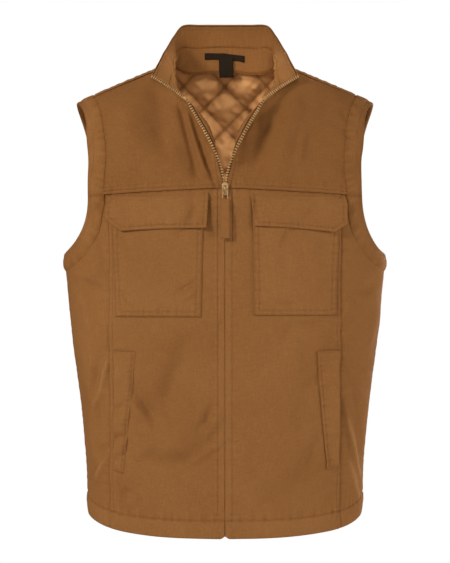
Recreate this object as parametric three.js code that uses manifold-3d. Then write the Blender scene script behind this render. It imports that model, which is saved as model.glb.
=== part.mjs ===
// An insulated canvas work vest, held open as if worn: a duck shell of sewn panels over a diamond
// quilted lining, a stand collar laid open at the throat, a front zip run down to the chest, two
// flapped chest pockets and two welted hand pockets.
//
// Millimetres. +X is the wearer's left, -Y the front and +Z up. The origin lies midway between the
// two shoulders at the base of the neck, where the vest sits on its wearer.
import * as THREE from "three";
import { mergeVertices } from "three/addons/utils/BufferGeometryUtils.js";
import Module from "manifold-3d";

const wasm = await Module();
wasm.setup();

// Driving dimensions
const BODY_LENGTH = 718; // high shoulder point to the front hem
const SIDE_RISE = 33; // how far the hem climbs from the front to the side seams
const SECTION_POWER = 2.4; // squareness of a level section through the body
const CAP_Z = -200; // above this level the body closes over towards the shoulders
const CAP_POWER = { front: 2.1, back: 2.8 }; // squareness of the upright section over a shoulder
const CAP_ARC = 260; // nominal run of cloth from CAP_Z up to the shoulder ridge
const SHOULDER = { slope: 0.43, zero: 110, round: 36 }; // fall, reach at the origin's level, crown
const NECK_HALF = 85; // half the width of the neck hole at the shoulder ridge
const SEAM_OVER_SHOULDER = 45; // the shoulder seam lies this far in front of the ridge

const SHELL = 1.5; // duck cloth, doubled at its seams
const SEAM_GAP = 0.45; // half the gap left between two panels
const YOKE_GAP = 1.3; // gap along the yoke seam, which is sampled differently on its two sides
const FRONT_GAP = 1.2; // from the centre line to each front edge where the zip is shut
const ROLL_LENGTH = 20; // width of the front edge that rolls open above the zip slider
const ROLL_ANGLE = 2.5; // radians turned by a fully rolled edge

const YOKE = { centre: -194, fall: 0.048 }; // level of the yoke seam and its fall towards each side
const SIDE_SEAM_X = 174; // the upright seam between front and side panels
const COLLAR = { outer: 1.6, facing: 1.4, space: 2.2 };
const FACING = { width: 34, depth: 3.7, thick: 1.2 };
const LINING = { front: 5.2, back: 1.9, thin: 1.4, puff: 4.2, hem: 22, hemShare: 0.5 };
const ZIP = { chain: 3, thick: 2.2, tape: 12, tapeThick: 0.6, foot: -652 };
const POCKET = { inner: 35, outer: 171, top: -208, foot: -383, lift: 0.9, thick: 1.6 };
const FLAP = { inner: 30, outer: 182, drop: 62, chamfer: 18, lift: 3.1, thick: 1.8 };
const WELT = { top: -441, foot: -628, outer: 172.5, wide: 36, narrow: 21, lift: 0.9, thick: 2.2 };

// Level sections of the body: half width, and depth before and behind the side seam
const SECTIONS = [
  { z: -760, half: 211, front: 110, back: 110 },
  { z: -690, half: 213, front: 113, back: 113 },
  { z: -610, half: 216, front: 118, back: 116 },
  { z: -516, half: 224.5, front: 123, back: 120 },
  { z: -423, half: 237, front: 127, back: 126 },
  { z: -329, half: 246, front: 130, back: 132 },
  { z: -285, half: 249.5, front: 131, back: 135 },
  { z: -200, half: 250, front: 131, back: 138 },
  { z: 60, half: 250, front: 131, back: 138 },
];

// Each armhole as two loops in side view: the bound edge, and the seam that joins band to panels
const ARMHOLE = {
  edge: { top: -53, foot: -290, front: 87, back: 84 },
  seam: { top: -42, foot: -318, front: 101, back: 102 },
};
const LOOP_POWER = { above: 2, below: 3.5 }; // round over the shoulder, squarer under the arm

// The open front edge above the zip slider, seen from the front, and how far it rolls outward there
const FRONT_EDGE = [
  { x: 1.2, z: -194, roll: 0 },
  { x: 8, z: -170, roll: 0.25 },
  { x: 17, z: -143, roll: 0.6 },
  { x: 29, z: -115, roll: 0.9 },
  { x: 43, z: -90, roll: 0.85 },
  { x: 60, z: -67, roll: 0.5 },
];

// The collar's top edge from the middle of the back to its front corner
const COLLAR_TOP = [
  { x: 0, y: 92, z: 79 },
  { x: 40, y: 92, z: 79 },
  { x: 68, y: 86, z: 77 },
  { x: 81, y: 70, z: 59 },
  { x: 90, y: 44, z: 38 },
  { x: 95.5, y: 18, z: 24 },
  { x: 100, y: -10, z: 9 },
  { x: 105, y: -40, z: -6 },
  { x: 111, y: -72, z: -23 },
];

// Main folds of the fronts, each along a line seen from the front: positive heights stand out
const FOLDS = [
  { name: "left zip ridge", x0: 34, z0: -104, x1: 22, z1: -182, width: 10, height: 3.5 },
  { name: "left throat hollow", x0: 58, z0: -88, x1: 44, z1: -176, width: 11, height: -4 },
  { name: "left yoke drape", x0: 104, z0: -60, x1: 74, z1: -180, width: 17, height: 4 },
  { name: "right zip ridge", x0: -34, z0: -106, x1: -20, z1: -184, width: 10, height: 3.5 },
  { name: "right throat hollow", x0: -78, z0: -96, x1: -46, z1: -180, width: 11, height: -3 },
  { name: "right yoke drape", x0: -92, z0: -50, x1: -100, z1: -176, width: 20, height: 4 },
  { name: "right waist drape", x0: -62, z0: -430, x1: -104, z1: -540, width: 20, height: -4 },
  { name: "right welt pull", x0: -140, z0: -492, x1: -106, z1: -548, width: 11, height: -4 },
  { name: "right hip swell", x0: -86, z0: -600, x1: -30, z1: -520, width: 22, height: 4 },
  { name: "left hip swell", x0: 60, z0: -640, x1: 132, z1: -560, width: 22, height: 4 },
];

const FRONT = "front";
const BACK = "back";
const SIDES = [
  { name: "left", sign: 1 },
  { name: "right", sign: -1 },
];

const vec = (x, y, z) => new THREE.Vector3(x, y, z);
const mix = (a, b, t) => a + (b - a) * t;
const clamp = (v, low, high) => Math.min(high, Math.max(low, v));
const signedPower = (v, p) => Math.sign(v) * Math.abs(v) ** p;

// A smooth curve through one column of a table, against another column that rises or falls
function column(table, key, value, at) {
  const rising = table[table.length - 1][key] > table[0][key];
  const rows = rising ? table : [...table].reverse();
  const t = clamp(at, rows[0][key], rows[rows.length - 1][key]);
  const i = clamp(rows.findIndex((r) => r[key] >= t) - 1, 0, rows.length - 2);
  const slope = (k) => {
    const a = rows[Math.max(0, k - 1)];
    const b = rows[Math.min(rows.length - 1, k + 1)];
    return (b[value] - a[value]) / (b[key] - a[key]);
  };
  const span = rows[i + 1][key] - rows[i][key];
  const f = (t - rows[i][key]) / span;
  return (
    (2 * f ** 3 - 3 * f ** 2 + 1) * rows[i][value] +
    (f ** 3 - 2 * f ** 2 + f) * span * slope(i) +
    (3 * f ** 2 - 2 * f ** 3) * rows[i + 1][value] +
    (f ** 3 - f ** 2) * span * slope(i + 1)
  );
}

const halfAt = (z) => column(SECTIONS, "z", "half", z);
const depthOf = (z, face) => column(SECTIONS, "z", face, z);

// Height of the shoulder ridge, rounded over where the neck hole is cut, and its inverse
const ridgeAt = (x) => SHOULDER.slope * (SHOULDER.zero - Math.hypot(x, SHOULDER.round));
const ridgeX = (z) => Math.sqrt((SHOULDER.zero - z / SHOULDER.slope) ** 2 - SHOULDER.round ** 2);

// Share of the section's depth left at x, and how far the body has closed over at z
const across = (x, z) =>
  Math.max(0, 1 - (Math.abs(x) / halfAt(z)) ** SECTION_POWER) ** (1 / SECTION_POWER);
function closing(x, z, face) {
  const rise = clamp((z - CAP_Z) / (ridgeAt(x) - CAP_Z), 0, 1);
  return (1 - rise ** CAP_POWER[face]) ** (1 / CAP_POWER[face]);
}

function bodyY(x, z, face) {
  const depth = depthOf(z, face) * across(x, z) * closing(x, z, face);
  return face === FRONT ? -depth : depth;
}

// The x at which the body is y deep, found by halving
function bodyX(y, z, face) {
  let low = 0;
  let high = Math.min(halfAt(z), z > CAP_Z ? ridgeX(z) : Infinity);
  for (let k = 0; k < 40; k++) {
    const middle = (low + high) / 2;
    if (Math.abs(bodyY(middle, z, face)) > Math.abs(y)) low = middle;
    else high = middle;
  }
  return (low + high) / 2;
}

// The body as a level set, for its outward normal
function levelSet(x, y, z, face) {
  const depth = depthOf(z, face);
  if (z <= CAP_Z) {
    return (Math.abs(x) / halfAt(z)) ** SECTION_POWER + (Math.abs(y) / depth) ** SECTION_POWER;
  }
  const power = CAP_POWER[face];
  const rise = (z - CAP_Z) / (ridgeAt(x) - CAP_Z);
  return (Math.abs(y) / (depth * across(x, z))) ** power + Math.max(0, rise) ** power;
}

function bodyNormal(p, face) {
  const h = 0.4;
  const d = (dx, dy, dz) =>
    levelSet(p.x + dx, p.y + dy, p.z + dz, face) - levelSet(p.x - dx, p.y - dy, p.z - dz, face);
  return vec(d(h, 0, 0), d(0, h, 0), d(0, 0, h)).normalize();
}

// How far the folds lift the front at a point seen from the front
function foldAt(x, z) {
  return FOLDS.reduce((sum, fold) => {
    const run = vec(fold.x1 - fold.x0, 0, fold.z1 - fold.z0);
    const from = vec(x - fold.x0, 0, z - fold.z0);
    const t = from.dot(run) / run.lengthSq();
    const off = from.clone().addScaledVector(run, -clamp(t, 0, 1)).length();
    const fade = Math.sin(Math.PI * clamp(mix(0.15, 0.85, t), 0, 1));
    return sum + fold.height * fade * Math.exp(-((off / fold.width) ** 2));
  }, 0);
}

const hemRise = (x) => SIDE_RISE * (1 - across(x, -BODY_LENGTH));
const hemZ = (x) => -BODY_LENGTH + hemRise(x);
const yokeZ = (x) => YOKE.centre - YOKE.fall * Math.abs(x);

// A point of the front or back with its outward normal, pushed out by the folds of the front
function surface(x, z, face, folded = true) {
  const p = vec(x, bodyY(x, z, face), z);
  const n = bodyNormal(p, face);
  if (face === FRONT && folded) p.addScaledVector(n, foldAt(x, z));
  return { p, n };
}

// The body by angle round a level section and by run of cloth: up the back, over the ridge
// and down the front as the run grows past CAP_ARC
function wrapped(angle, run) {
  const share = Math.sin(angle) ** (2 / SECTION_POWER);
  if (run <= 0) {
    const z = CAP_Z + run;
    const x = halfAt(z) * share;
    const p = vec(x, depthOf(z, BACK) * Math.cos(angle) ** (2 / SECTION_POWER), z);
    return { p, n: bodyNormal(p, BACK) };
  }
  const turn = (run / CAP_ARC) * (Math.PI / 2);
  const face = turn <= Math.PI / 2 ? BACK : FRONT;
  const power = 2 / CAP_POWER[face];
  const x = halfAt(0) * share;
  const z = CAP_Z + (ridgeAt(x) - CAP_Z) * Math.sin(turn) ** power;
  const depth = depthOf(z, face) * across(x, z);
  const p = vec(x, depth * signedPower(Math.cos(turn), power), z);
  return { p, n: bodyNormal(p, face) };
}
const angleAt = (x, z) => Math.asin(clamp(Math.abs(x) / halfAt(z), 0, 1) ** (SECTION_POWER / 2));
function runAt(x, z, face) {
  if (z <= CAP_Z) return z - CAP_Z;
  const rise = clamp((z - CAP_Z) / (ridgeAt(x) - CAP_Z), 0, 1);
  const turn = Math.asin(rise ** (CAP_POWER[face] / 2));
  return (CAP_ARC * (face === BACK ? turn : Math.PI - turn)) / (Math.PI / 2);
}

// A point of an armhole loop by its turn about the middle: 0 on the shoulder, 1/4 in front
function armhole(loop, turn) {
  const { top, foot, front, back } = ARMHOLE[loop];
  const c = Math.cos(2 * Math.PI * turn);
  const s = Math.sin(2 * Math.PI * turn);
  const power = c > 0 ? LOOP_POWER.above : LOOP_POWER.below;
  const tall = (top - foot) / 2;
  const deep = s > 0 ? front : back;
  const reach = (Math.abs(s / deep) ** power + Math.abs(c / tall) ** power) ** (-1 / power);
  const face = s > 0 ? FRONT : BACK;
  const y = -reach * s;
  const z = (top + foot) / 2 + reach * c;
  return { x: bodyX(y, z, face), y, z, face };
}

// The turn of the seam loop at which a test first holds, walking forward from the shoulder
function seamTurn(test) {
  let turn = 0.001;
  while (turn < 0.5 && !test(armhole("seam", turn))) turn += 0.0002;
  return turn;
}
const shoulderSeamZ = (x) => {
  const turn = (Math.PI / 2) * (1 + SEAM_OVER_SHOULDER / CAP_ARC);
  return CAP_Z + (ridgeAt(x) - CAP_Z) * Math.sin(turn) ** (2 / CAP_POWER.front);
};
const YOKE_TURN = seamTurn((p) => p.z < yokeZ(p.x));
const SHOULDER_TURN = seamTurn((p) => p.z < shoulderSeamZ(p.x));

// A patch between four edges, each a function of 0 to 1 that gives [a, b]; a higher power keeps
// the shape of the top edge to the rows just below it
function coons(bottom, top, inner, outer, power = 1) {
  const shape = (edge, s, k) => edge(s)[k] - mix(edge(0)[k], edge(1)[k], s);
  return (s, t) =>
    [0, 1].map((k) => {
      const between = mix(inner(t)[k], outer(t)[k], s);
      return between + mix(shape(bottom, s, k), shape(top, s, k), t ** power);
    });
}

// A closed solid between two grids of points; grids are rows of columns
function slab(outside, inside, crossed = () => false, crossedInside = crossed) {
  const rows = outside.length;
  const cols = outside[0].length;
  const points = [...outside.flat(), ...inside.flat()];
  const at = (layer, r, c) => layer * rows * cols + r * cols + c;
  const faces = [];
  const quad = (a, b, c, d) => faces.push(a, b, c, a, c, d);
  for (let r = 0; r < rows - 1; r++) {
    for (let c = 0; c < cols - 1; c++) {
      const cell = (side, turned) => {
        const four = [at(side, r, c), at(side, r, c + 1), at(side, r + 1, c + 1), at(side, r + 1, c)];
        if (turned) four.push(four.shift());
        return four;
      };
      quad(...cell(0, crossed(r, c)));
      const [p, q, s, t] = cell(1, crossedInside(r, c));
      quad(p, t, s, q);
    }
  }
  for (let c = 0; c < cols - 1; c++) {
    quad(at(1, 0, c), at(1, 0, c + 1), at(0, 0, c + 1), at(0, 0, c));
    quad(at(0, rows - 1, c), at(0, rows - 1, c + 1), at(1, rows - 1, c + 1), at(1, rows - 1, c));
  }
  for (let r = 0; r < rows - 1; r++) {
    quad(at(0, r, 0), at(0, r + 1, 0), at(1, r + 1, 0), at(1, r, 0));
    quad(at(1, r, cols - 1), at(1, r + 1, cols - 1), at(0, r + 1, cols - 1), at(0, r, cols - 1));
  }
  return outward(points, faces);
}

// A closed tube through rings of points; a loop joins its last ring to its first
function tube(rings, closed = false) {
  const sides = rings[0].length;
  const points = rings.flat();
  const faces = [];
  const quad = (a, b, c, d) => faces.push(a, b, c, a, c, d);
  const last = closed ? rings.length : rings.length - 1;
  for (let r = 0; r < last; r++) {
    const next = (r + 1) % rings.length;
    for (let k = 0; k < sides; k++) {
      const k2 = (k + 1) % sides;
      quad(r * sides + k, r * sides + k2, next * sides + k2, next * sides + k);
    }
  }
  if (!closed) {
    const end = (rings.length - 1) * sides;
    for (let k = 1; k < sides - 1; k++) {
      faces.push(0, k + 1, k);
      faces.push(end, end + k, end + k + 1);
    }
  }
  return outward(points, faces);
}

// A geometry whose faces point out, whichever way round they were listed
function outward(points, faces) {
  const volume = faces.reduce((sum, _, i) => {
    if (i % 3) return sum;
    const [a, b, c] = [points[faces[i]], points[faces[i + 1]], points[faces[i + 2]]];
    return sum + a.dot(b.clone().cross(c));
  }, 0);
  if (volume < 0) {
    for (let i = 0; i < faces.length; i += 3) {
      [faces[i + 1], faces[i + 2]] = [faces[i + 2], faces[i + 1]];
    }
  }
  const geometry = new THREE.BufferGeometry();
  geometry.setFromPoints(points);
  geometry.setIndex(faces);
  return geometry;
}

// Boolean solids, for the small hard pieces of the zip
function solid(geometry) {
  const bare = geometry.clone();
  bare.deleteAttribute("normal");
  bare.deleteAttribute("uv");
  const merged = mergeVertices(bare, 1e-4);
  return new wasm.Manifold(
    new wasm.Mesh({
      numProp: 3,
      vertProperties: new Float32Array(merged.attributes.position.array),
      triVerts: new Uint32Array(merged.index.array),
    }),
  );
}
function geometryOf(manifold) {
  const mesh = manifold.getMesh();
  const geometry = new THREE.BufferGeometry();
  geometry.setAttribute("position", new THREE.BufferAttribute(mesh.vertProperties, 3));
  geometry.setIndex(new THREE.BufferAttribute(mesh.triVerts, 1));
  return geometry;
}

// Mirrors points to the wearer's right side
const mirrored = (p, sign) => vec(p.x * sign, p.y, p.z);
const offset = ({ p, n }, by) => p.clone().addScaledVector(n, by);
const layer = (grid, by) => grid.map((row) => row.map((q) => offset(q, by)));
const steps = (count, f) => Array.from({ length: count + 1 }, (_, k) => f(k / count));

// The patterned finishes
const finish = (color, roughness, metalness = 0) =>
  new THREE.MeshStandardMaterial({ color, roughness, metalness });
const DUCK = finish(0x8c5c33, 0.92);
const TAFFETA = finish(0xa0713f, 0.62);
const TAPE = finish(0x84572f, 0.9);
const TEETH = finish(0x9a6d40, 0.45);
const METAL = finish(0xa57a4c, 0.4, 0.5);
const LABEL = finish(0x17161a, 0.7);

const vest = new THREE.Group();
function piece(name, geometry, material) {
  const mesh = new THREE.Mesh(geometry, material);
  mesh.name = name;
  vest.add(mesh);
}

// Front view position and roll of the front edge, by share of the way from slider to neck seam
const edgeX = (t, sign) => sign * column(FRONT_EDGE.map((r, i) => ({ ...r, i })), "i", "x", t * 5);
const edgeZ = (t) => column(FRONT_EDGE.map((r, i) => ({ ...r, i })), "i", "z", t * 5);
const edgeRoll = (t) => column(FRONT_EDGE.map((r, i) => ({ ...r, i })), "i", "roll", t * 5);

// A row of cloth that starts at a front edge: e runs in from the edge, and the first stretch
// curls out of the body's surface by the row's share of the full roll
function rolledRow(inner, outer, roll) {
  const reach = Math.hypot(outer[0] - inner[0], outer[1] - inner[1]);
  const dir = [(outer[0] - inner[0]) / reach, (outer[1] - inner[1]) / reach];
  const bend = Math.max(1e-4, (ROLL_ANGLE * roll) / ROLL_LENGTH);
  const start = Math.sin(bend * ROLL_LENGTH) / bend;
  const length = reach - start + ROLL_LENGTH;
  const at = (e) => {
    const turned = bend * Math.max(0, ROLL_LENGTH - e);
    const u = start + (e < ROLL_LENGTH ? -Math.sin(turned) / bend : e - ROLL_LENGTH);
    const w = (1 - Math.cos(turned)) / bend;
    const base = surface(inner[0] + dir[0] * u, inner[1] + dir[1] * u, FRONT);
    const ahead = surface(inner[0] + dir[0] * (u - 1), inner[1] + dir[1] * (u - 1), FRONT, false);
    const bare = surface(inner[0] + dir[0] * u, inner[1] + dir[1] * u, FRONT, false);
    const inward = ahead.p.sub(bare.p).normalize();
    const n = base.n.clone().multiplyScalar(Math.cos(turned));
    n.addScaledVector(inward, -Math.sin(turned));
    return { p: base.p.addScaledVector(base.n, w), n };
  };
  return { length, at };
}

// Distances in from a front edge: close together over the roll, then even
function rowSteps(length, rolled, even) {
  const near = Array.from({ length: rolled }, (_, k) => (ROLL_LENGTH * k) / rolled);
  return [...near, ...steps(even, (t) => mix(ROLL_LENGTH, length, t))];
}

// The front edge from the slider to the neck seam, then the neck seam to the shoulder seam
const EDGE_SHARE = 0.6;
const NECK_END = { x: NECK_HALF + 1, z: shoulderSeamZ(NECK_HALF + 1) };
function throat(t, sign) {
  if (t <= EDGE_SHARE) {
    const s = t / EDGE_SHARE;
    return { at: [edgeX(s, sign), edgeZ(s)], roll: edgeRoll(s) };
  }
  const s = (t - EDGE_SHARE) / (1 - EDGE_SHARE);
  const from = FRONT_EDGE[FRONT_EDGE.length - 1];
  const bow = 5 * Math.sin(Math.PI * s);
  return {
    at: [sign * (mix(from.x, NECK_END.x, s) + bow), mix(from.z, NECK_END.z, s) - bow],
    roll: from.roll * (1 - s) ** 2,
  };
}
function yokeRow(t, sign) {
  const bound = armhole("seam", mix(YOKE_TURN, SHOULDER_TURN, t));
  const start = throat(t, sign);
  return rolledRow(start.at, [sign * (bound.x - SEAM_GAP), bound.z], start.roll);
}

// A row of the lower front, from the shut front edge to the upright seam
function lowerRow(t, sign, outer = SIDE_SEAM_X - SEAM_GAP) {
  const zOf = (x) => mix(hemZ(x), yokeZ(x) - YOKE_GAP, t);
  return (s) => {
    const x = mix(FRONT_GAP, outer, s);
    return surface(sign * x, zOf(x), FRONT);
  };
}

function frontYoke(sign) {
  return steps(10, (t) => {
    const row = yokeRow(t, sign);
    return rowSteps(row.length, 4, 6).map(row.at);
  });
}
function frontPanel(sign) {
  return steps(18, (t) => steps(7, (s) => lowerRow(t, sign)(s)));
}

// The side panel, from the upright seam to the side seam and, higher up, to the armhole band
const SIDE_ROWS = 18;
const ARMPIT_SHARE = 13 / SIDE_ROWS;
function sideOuter(t) {
  if (t < ARMPIT_SHARE) {
    const z = mix(hemZ(halfAt(-BODY_LENGTH)), ARMHOLE.seam.foot, t / ARMPIT_SHARE);
    return [Math.PI / 2 - 0.003, z];
  }
  const s = (t - ARMPIT_SHARE) / (1 - ARMPIT_SHARE);
  const p = armhole("seam", mix(0.5, YOKE_TURN, s));
  return [angleAt(p.x, p.z) - 0.004, p.z - SEAM_GAP - YOKE_GAP * s];
}
function sidePanel(sign) {
  const inner = (t) => {
    const x = SIDE_SEAM_X + SEAM_GAP;
    const z = mix(hemZ(x), yokeZ(x) - YOKE_GAP, t);
    return [angleAt(x, z), z];
  };
  const span = (from, to) => (s) => [mix(from[0], to[0], s), mix(from[1], to[1], s)];
  const top = span(inner(1), sideOuter(1));
  const hem = (s) => {
    const angle = mix(inner(0)[0], sideOuter(0)[0], s);
    const x = halfAt(-BODY_LENGTH) * Math.sin(angle) ** (2 / SECTION_POWER);
    return [angle, hemZ(x)];
  };
  const patch = coons(hem, top, inner, sideOuter);
  return steps(SIDE_ROWS, (t) =>
    steps(5, (s) => {
      const [angle, z] = patch(s, t);
      const x = halfAt(z) * Math.sin(angle) ** (2 / SECTION_POWER);
      return surface(sign * x, z, FRONT);
    }),
  );
}

// Half of the back in angle and run: hem, neck and shoulder seam, centre line, then side and armhole
const BACK_HALF = 8;
const NECK = { side: 5 / BACK_HALF, level: 11 }; // share of the top edge, and its level behind
const BACK_ROWS = 19;
const BACK_ARMPIT = 9 / BACK_ROWS;
function halfBack() {
  const hem = (s) => {
    const angle = mix(0, Math.PI / 2 - 0.003, s);
    const x = halfAt(-BODY_LENGTH) * Math.sin(angle) ** (2 / SECTION_POWER);
    return [angle, hemZ(x) - CAP_Z];
  };
  const neckRun = runAt(0, NECK.level, BACK);
  const overRun = CAP_ARC + SEAM_OVER_SHOULDER - 5;
  const tip = armhole("seam", SHOULDER_TURN);
  const top = (s) => {
    if (s <= NECK.side) {
      const turn = (Math.PI / 2) * (s / NECK.side);
      const x = (NECK_HALF + 1) * Math.sin(turn);
      return [angleAt(x, 0), mix(neckRun, overRun, (1 - Math.cos(turn)) ** 1.5)];
    }
    const x = mix(NECK_HALF + 1, tip.x - SEAM_GAP, (s - NECK.side) / (1 - NECK.side));
    return [angleAt(x, 0), overRun];
  };
  const inner = (t) => [0, mix(hem(0)[1], neckRun, t)];
  const outer = (t) => {
    if (t < BACK_ARMPIT) {
      const z = mix(hemZ(halfAt(-BODY_LENGTH)), ARMHOLE.seam.foot, t / BACK_ARMPIT);
      return [Math.PI / 2 - 0.003, z - CAP_Z];
    }
    const turn = mix(0.5, 1 + SHOULDER_TURN, (t - BACK_ARMPIT) / (1 - BACK_ARMPIT));
    const p = armhole("seam", turn % 1);
    return [angleAt(p.x, p.z) - 0.003, runAt(p.x, p.z, p.face)];
  };
  return coons(hem, top, inner, outer, 4);
}
function backGrid(rows, half, patch) {
  const row = (t) => {
    const left = steps(half, (s) => wrapped(...patch(s, t)));
    const flip = ({ p, n }) => ({ p: mirrored(p, -1), n: mirrored(n, -1) });
    return [...left.slice(1).reverse().map(flip), ...left];
  };
  return steps(rows, row);
}

// Mirror halves of the back split their cells along mirrored diagonals
const mirrorSplit = (half) => (r, c) => c < half;
const yokes = SIDES.map(({ sign }) => frontYoke(sign));
const back = backGrid(BACK_ROWS, BACK_HALF, halfBack());
const backSolid = slab(layer(back, 0), layer(back, -SHELL), mirrorSplit(BACK_HALF));
piece("back_panel", backSolid, DUCK);
SIDES.forEach(({ name, sign }, k) => {
  const split = () => sign < 0;
  const lower = frontPanel(sign);
  const side = sidePanel(sign);
  piece(`front_yoke_${name}`, slab(layer(yokes[k], 0), layer(yokes[k], -SHELL), split), DUCK);
  piece(`front_panel_${name}`, slab(layer(lower, 0), layer(lower, -SHELL), split), DUCK);
  piece(`side_panel_${name}`, slab(layer(side, 0), layer(side, -SHELL), split), DUCK);
});

// The padded band round each armhole: places across it, from seam to edge, and heights there
const BAND = [
  { w: 0.1, h: 0.4 },
  { w: 0.22, h: 1.9 },
  { w: 0.75, h: 2.1 },
  { w: 1.0, h: -0.4 },
  { w: 1.03, h: -2.6 },
  { w: 0.85, h: -5.2 },
  { w: 0.15, h: -4.4 },
];
const BAND_RINGS = 32;
function armholeBand(sign) {
  const rings = Array.from({ length: BAND_RINGS }, (_, k) => {
    const turn = k / BAND_RINGS;
    const seam = armhole("seam", turn);
    const edge = armhole("edge", turn);
    const flatter = 1 - 0.8 * Math.max(0, Math.cos(2 * Math.PI * turn)) ** 2;
    return BAND.map(({ w, h }) => {
      const y = mix(seam.y, edge.y, w);
      const z = mix(seam.z, edge.z, w);
      const p = vec(bodyX(y, z, seam.face), y, z);
      const lift = h > 0 ? h * flatter : h;
      return mirrored(p.addScaledVector(bodyNormal(p, seam.face), lift), sign);
    });
  });
  return tube(rings, true);
}
SIDES.forEach(({ name, sign }) => piece(`armhole_band_${name}`, armholeBand(sign), DUCK));

// The collar between the neck seam, read off the panels, and its top edge; its middle layer meets
// the zip tape, which lies this deep below the shell
const SEAM_DEPTH = 2.65;
const leftYoke = yokes[0];
const neckRows = Math.round(EDGE_SHARE * (leftYoke.length - 1));
const neckPoints = [
  ...back[back.length - 1].slice(BACK_HALF, BACK_HALF * (1 + NECK.side) + 1),
  ...leftYoke.slice(neckRows).reverse().map((row) => row[0]),
].map((q) => offset(q, -SEAM_DEPTH));
const neckSeam = new THREE.CatmullRomCurve3(neckPoints, false, "centripetal");
const topPoints = COLLAR_TOP.map(({ x, y, z }) => vec(x, y, z));
const collarTop = new THREE.CatmullRomCurve3(topPoints, false, "centripetal");
const COLLAR_BOW = 14; // how far the opened collar rolls up off the shoulders between its edges
function collarChord(f, h) {
  const low = neckSeam.getPointAt(Math.min(1, Math.abs(f)));
  const high = collarTop.getPointAt(Math.min(1, Math.abs(f)));
  return mirrored(low.lerp(high, h), f < 0 ? -1 : 1);
}
function facingOut(shape, f, h) {
  const d = 0.01;
  const along = shape(Math.min(1, f + d), h).sub(shape(Math.max(-1, f - d), h));
  const up = shape(f, Math.min(1, h + d)).sub(shape(f, Math.max(0, h - d)));
  return up.cross(along).normalize();
}
function collarMid(f, h) {
  const bow = COLLAR_BOW * Math.sin(Math.PI * h) ** 0.8 * clamp((Math.abs(f) - 0.2) * 2, 0, 1);
  return collarChord(f, h).addScaledVector(facingOut(collarChord, f, 0.5), -bow);
}
const collarPoint = (f, h) => ({ p: collarMid(f, h), n: facingOut(collarMid, f, h) });
const COLLAR_END = 0.985; // leaves the zip clear of the collar's front edges
const COLLAR_COLUMNS = 26;
const collarGrid = (levels) =>
  levels.map((h) => steps(COLLAR_COLUMNS, (t) => collarPoint(mix(-COLLAR_END, COLLAR_END, t), h)));
const half = COLLAR.space / 2;
const COLLAR_LEVELS = [0.08, 0.25, 0.5, 0.75, 1];
const collarLayers = [
  { name: "collar_outer", levels: COLLAR_LEVELS, out: half + COLLAR.outer, in: half },
  { name: "neck_facing", levels: [0.08, 0.25, 0.49], out: -half, in: -half - COLLAR.facing },
  { name: "collar_facing", levels: [0.51, 0.75, 0.99], out: -half, in: -half - COLLAR.facing },
];
collarLayers.forEach((part) => {
  const grid = collarGrid(part.levels);
  const split = mirrorSplit(COLLAR_COLUMNS / 2);
  piece(part.name, slab(layer(grid, part.out), layer(grid, part.in), split), DUCK);
});

// The cloth beside one front edge, sampled at distances in from the edge, in rows from the foot of
// the zip to the slider, on to the neck seam, and up the collar
function lowerEdge(z, sign, into) {
  return into.map((e) => surface(sign * (FRONT_GAP + e), z, FRONT));
}
function throatEdge(t, sign, into) {
  return into.map(yokeRow(t * EDGE_SHARE, sign).at);
}
function collarEdge(h, sign, into) {
  const k = COLLAR_LEVELS.findIndex((level) => level >= h - 1e-9);
  if (k > 0 && COLLAR_LEVELS[k] > h + 1e-9) {
    const share = (h - COLLAR_LEVELS[k - 1]) / (COLLAR_LEVELS[k] - COLLAR_LEVELS[k - 1]);
    const low = collarEdge(COLLAR_LEVELS[k - 1], sign, into);
    const high = collarEdge(COLLAR_LEVELS[k], sign, into);
    return low.map((q, i) => ({ p: q.p.lerp(high[i].p, share), n: q.n.lerp(high[i].n, share) }));
  }
  const a = collarPoint(sign * COLLAR_END, h);
  const b = collarPoint(sign * COLLAR_END * (1 - 2 / COLLAR_COLUMNS), h);
  const gap = a.p.distanceTo(b.p);
  return into.map((e) => ({ p: a.p.clone().lerp(b.p, e / gap), n: a.n.clone().lerp(b.n, e / gap) }));
}
const smooth = (t) => t * t * (3 - 2 * t);
// Shares of the open edge that are sampled, on the same rows as the yoke's own grid
const ZIP_LEVELS = [0.15, 0.25, 0.5, 0.75, 0.985]; // and of the collar's front edge
const THROAT_ROWS = [0.02, 0.09, 1 / 6, 2 / 6, 3 / 6, 4 / 6, 5 / 6, 0.92];

// How far the two chains have parted, and how far in from the edge of the cloth each then lies
const parting = (t) => smooth(Math.min(1, t / 0.22));
const chainPlace = (t) => mix(0.65, -2.3, parting(t));

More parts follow.
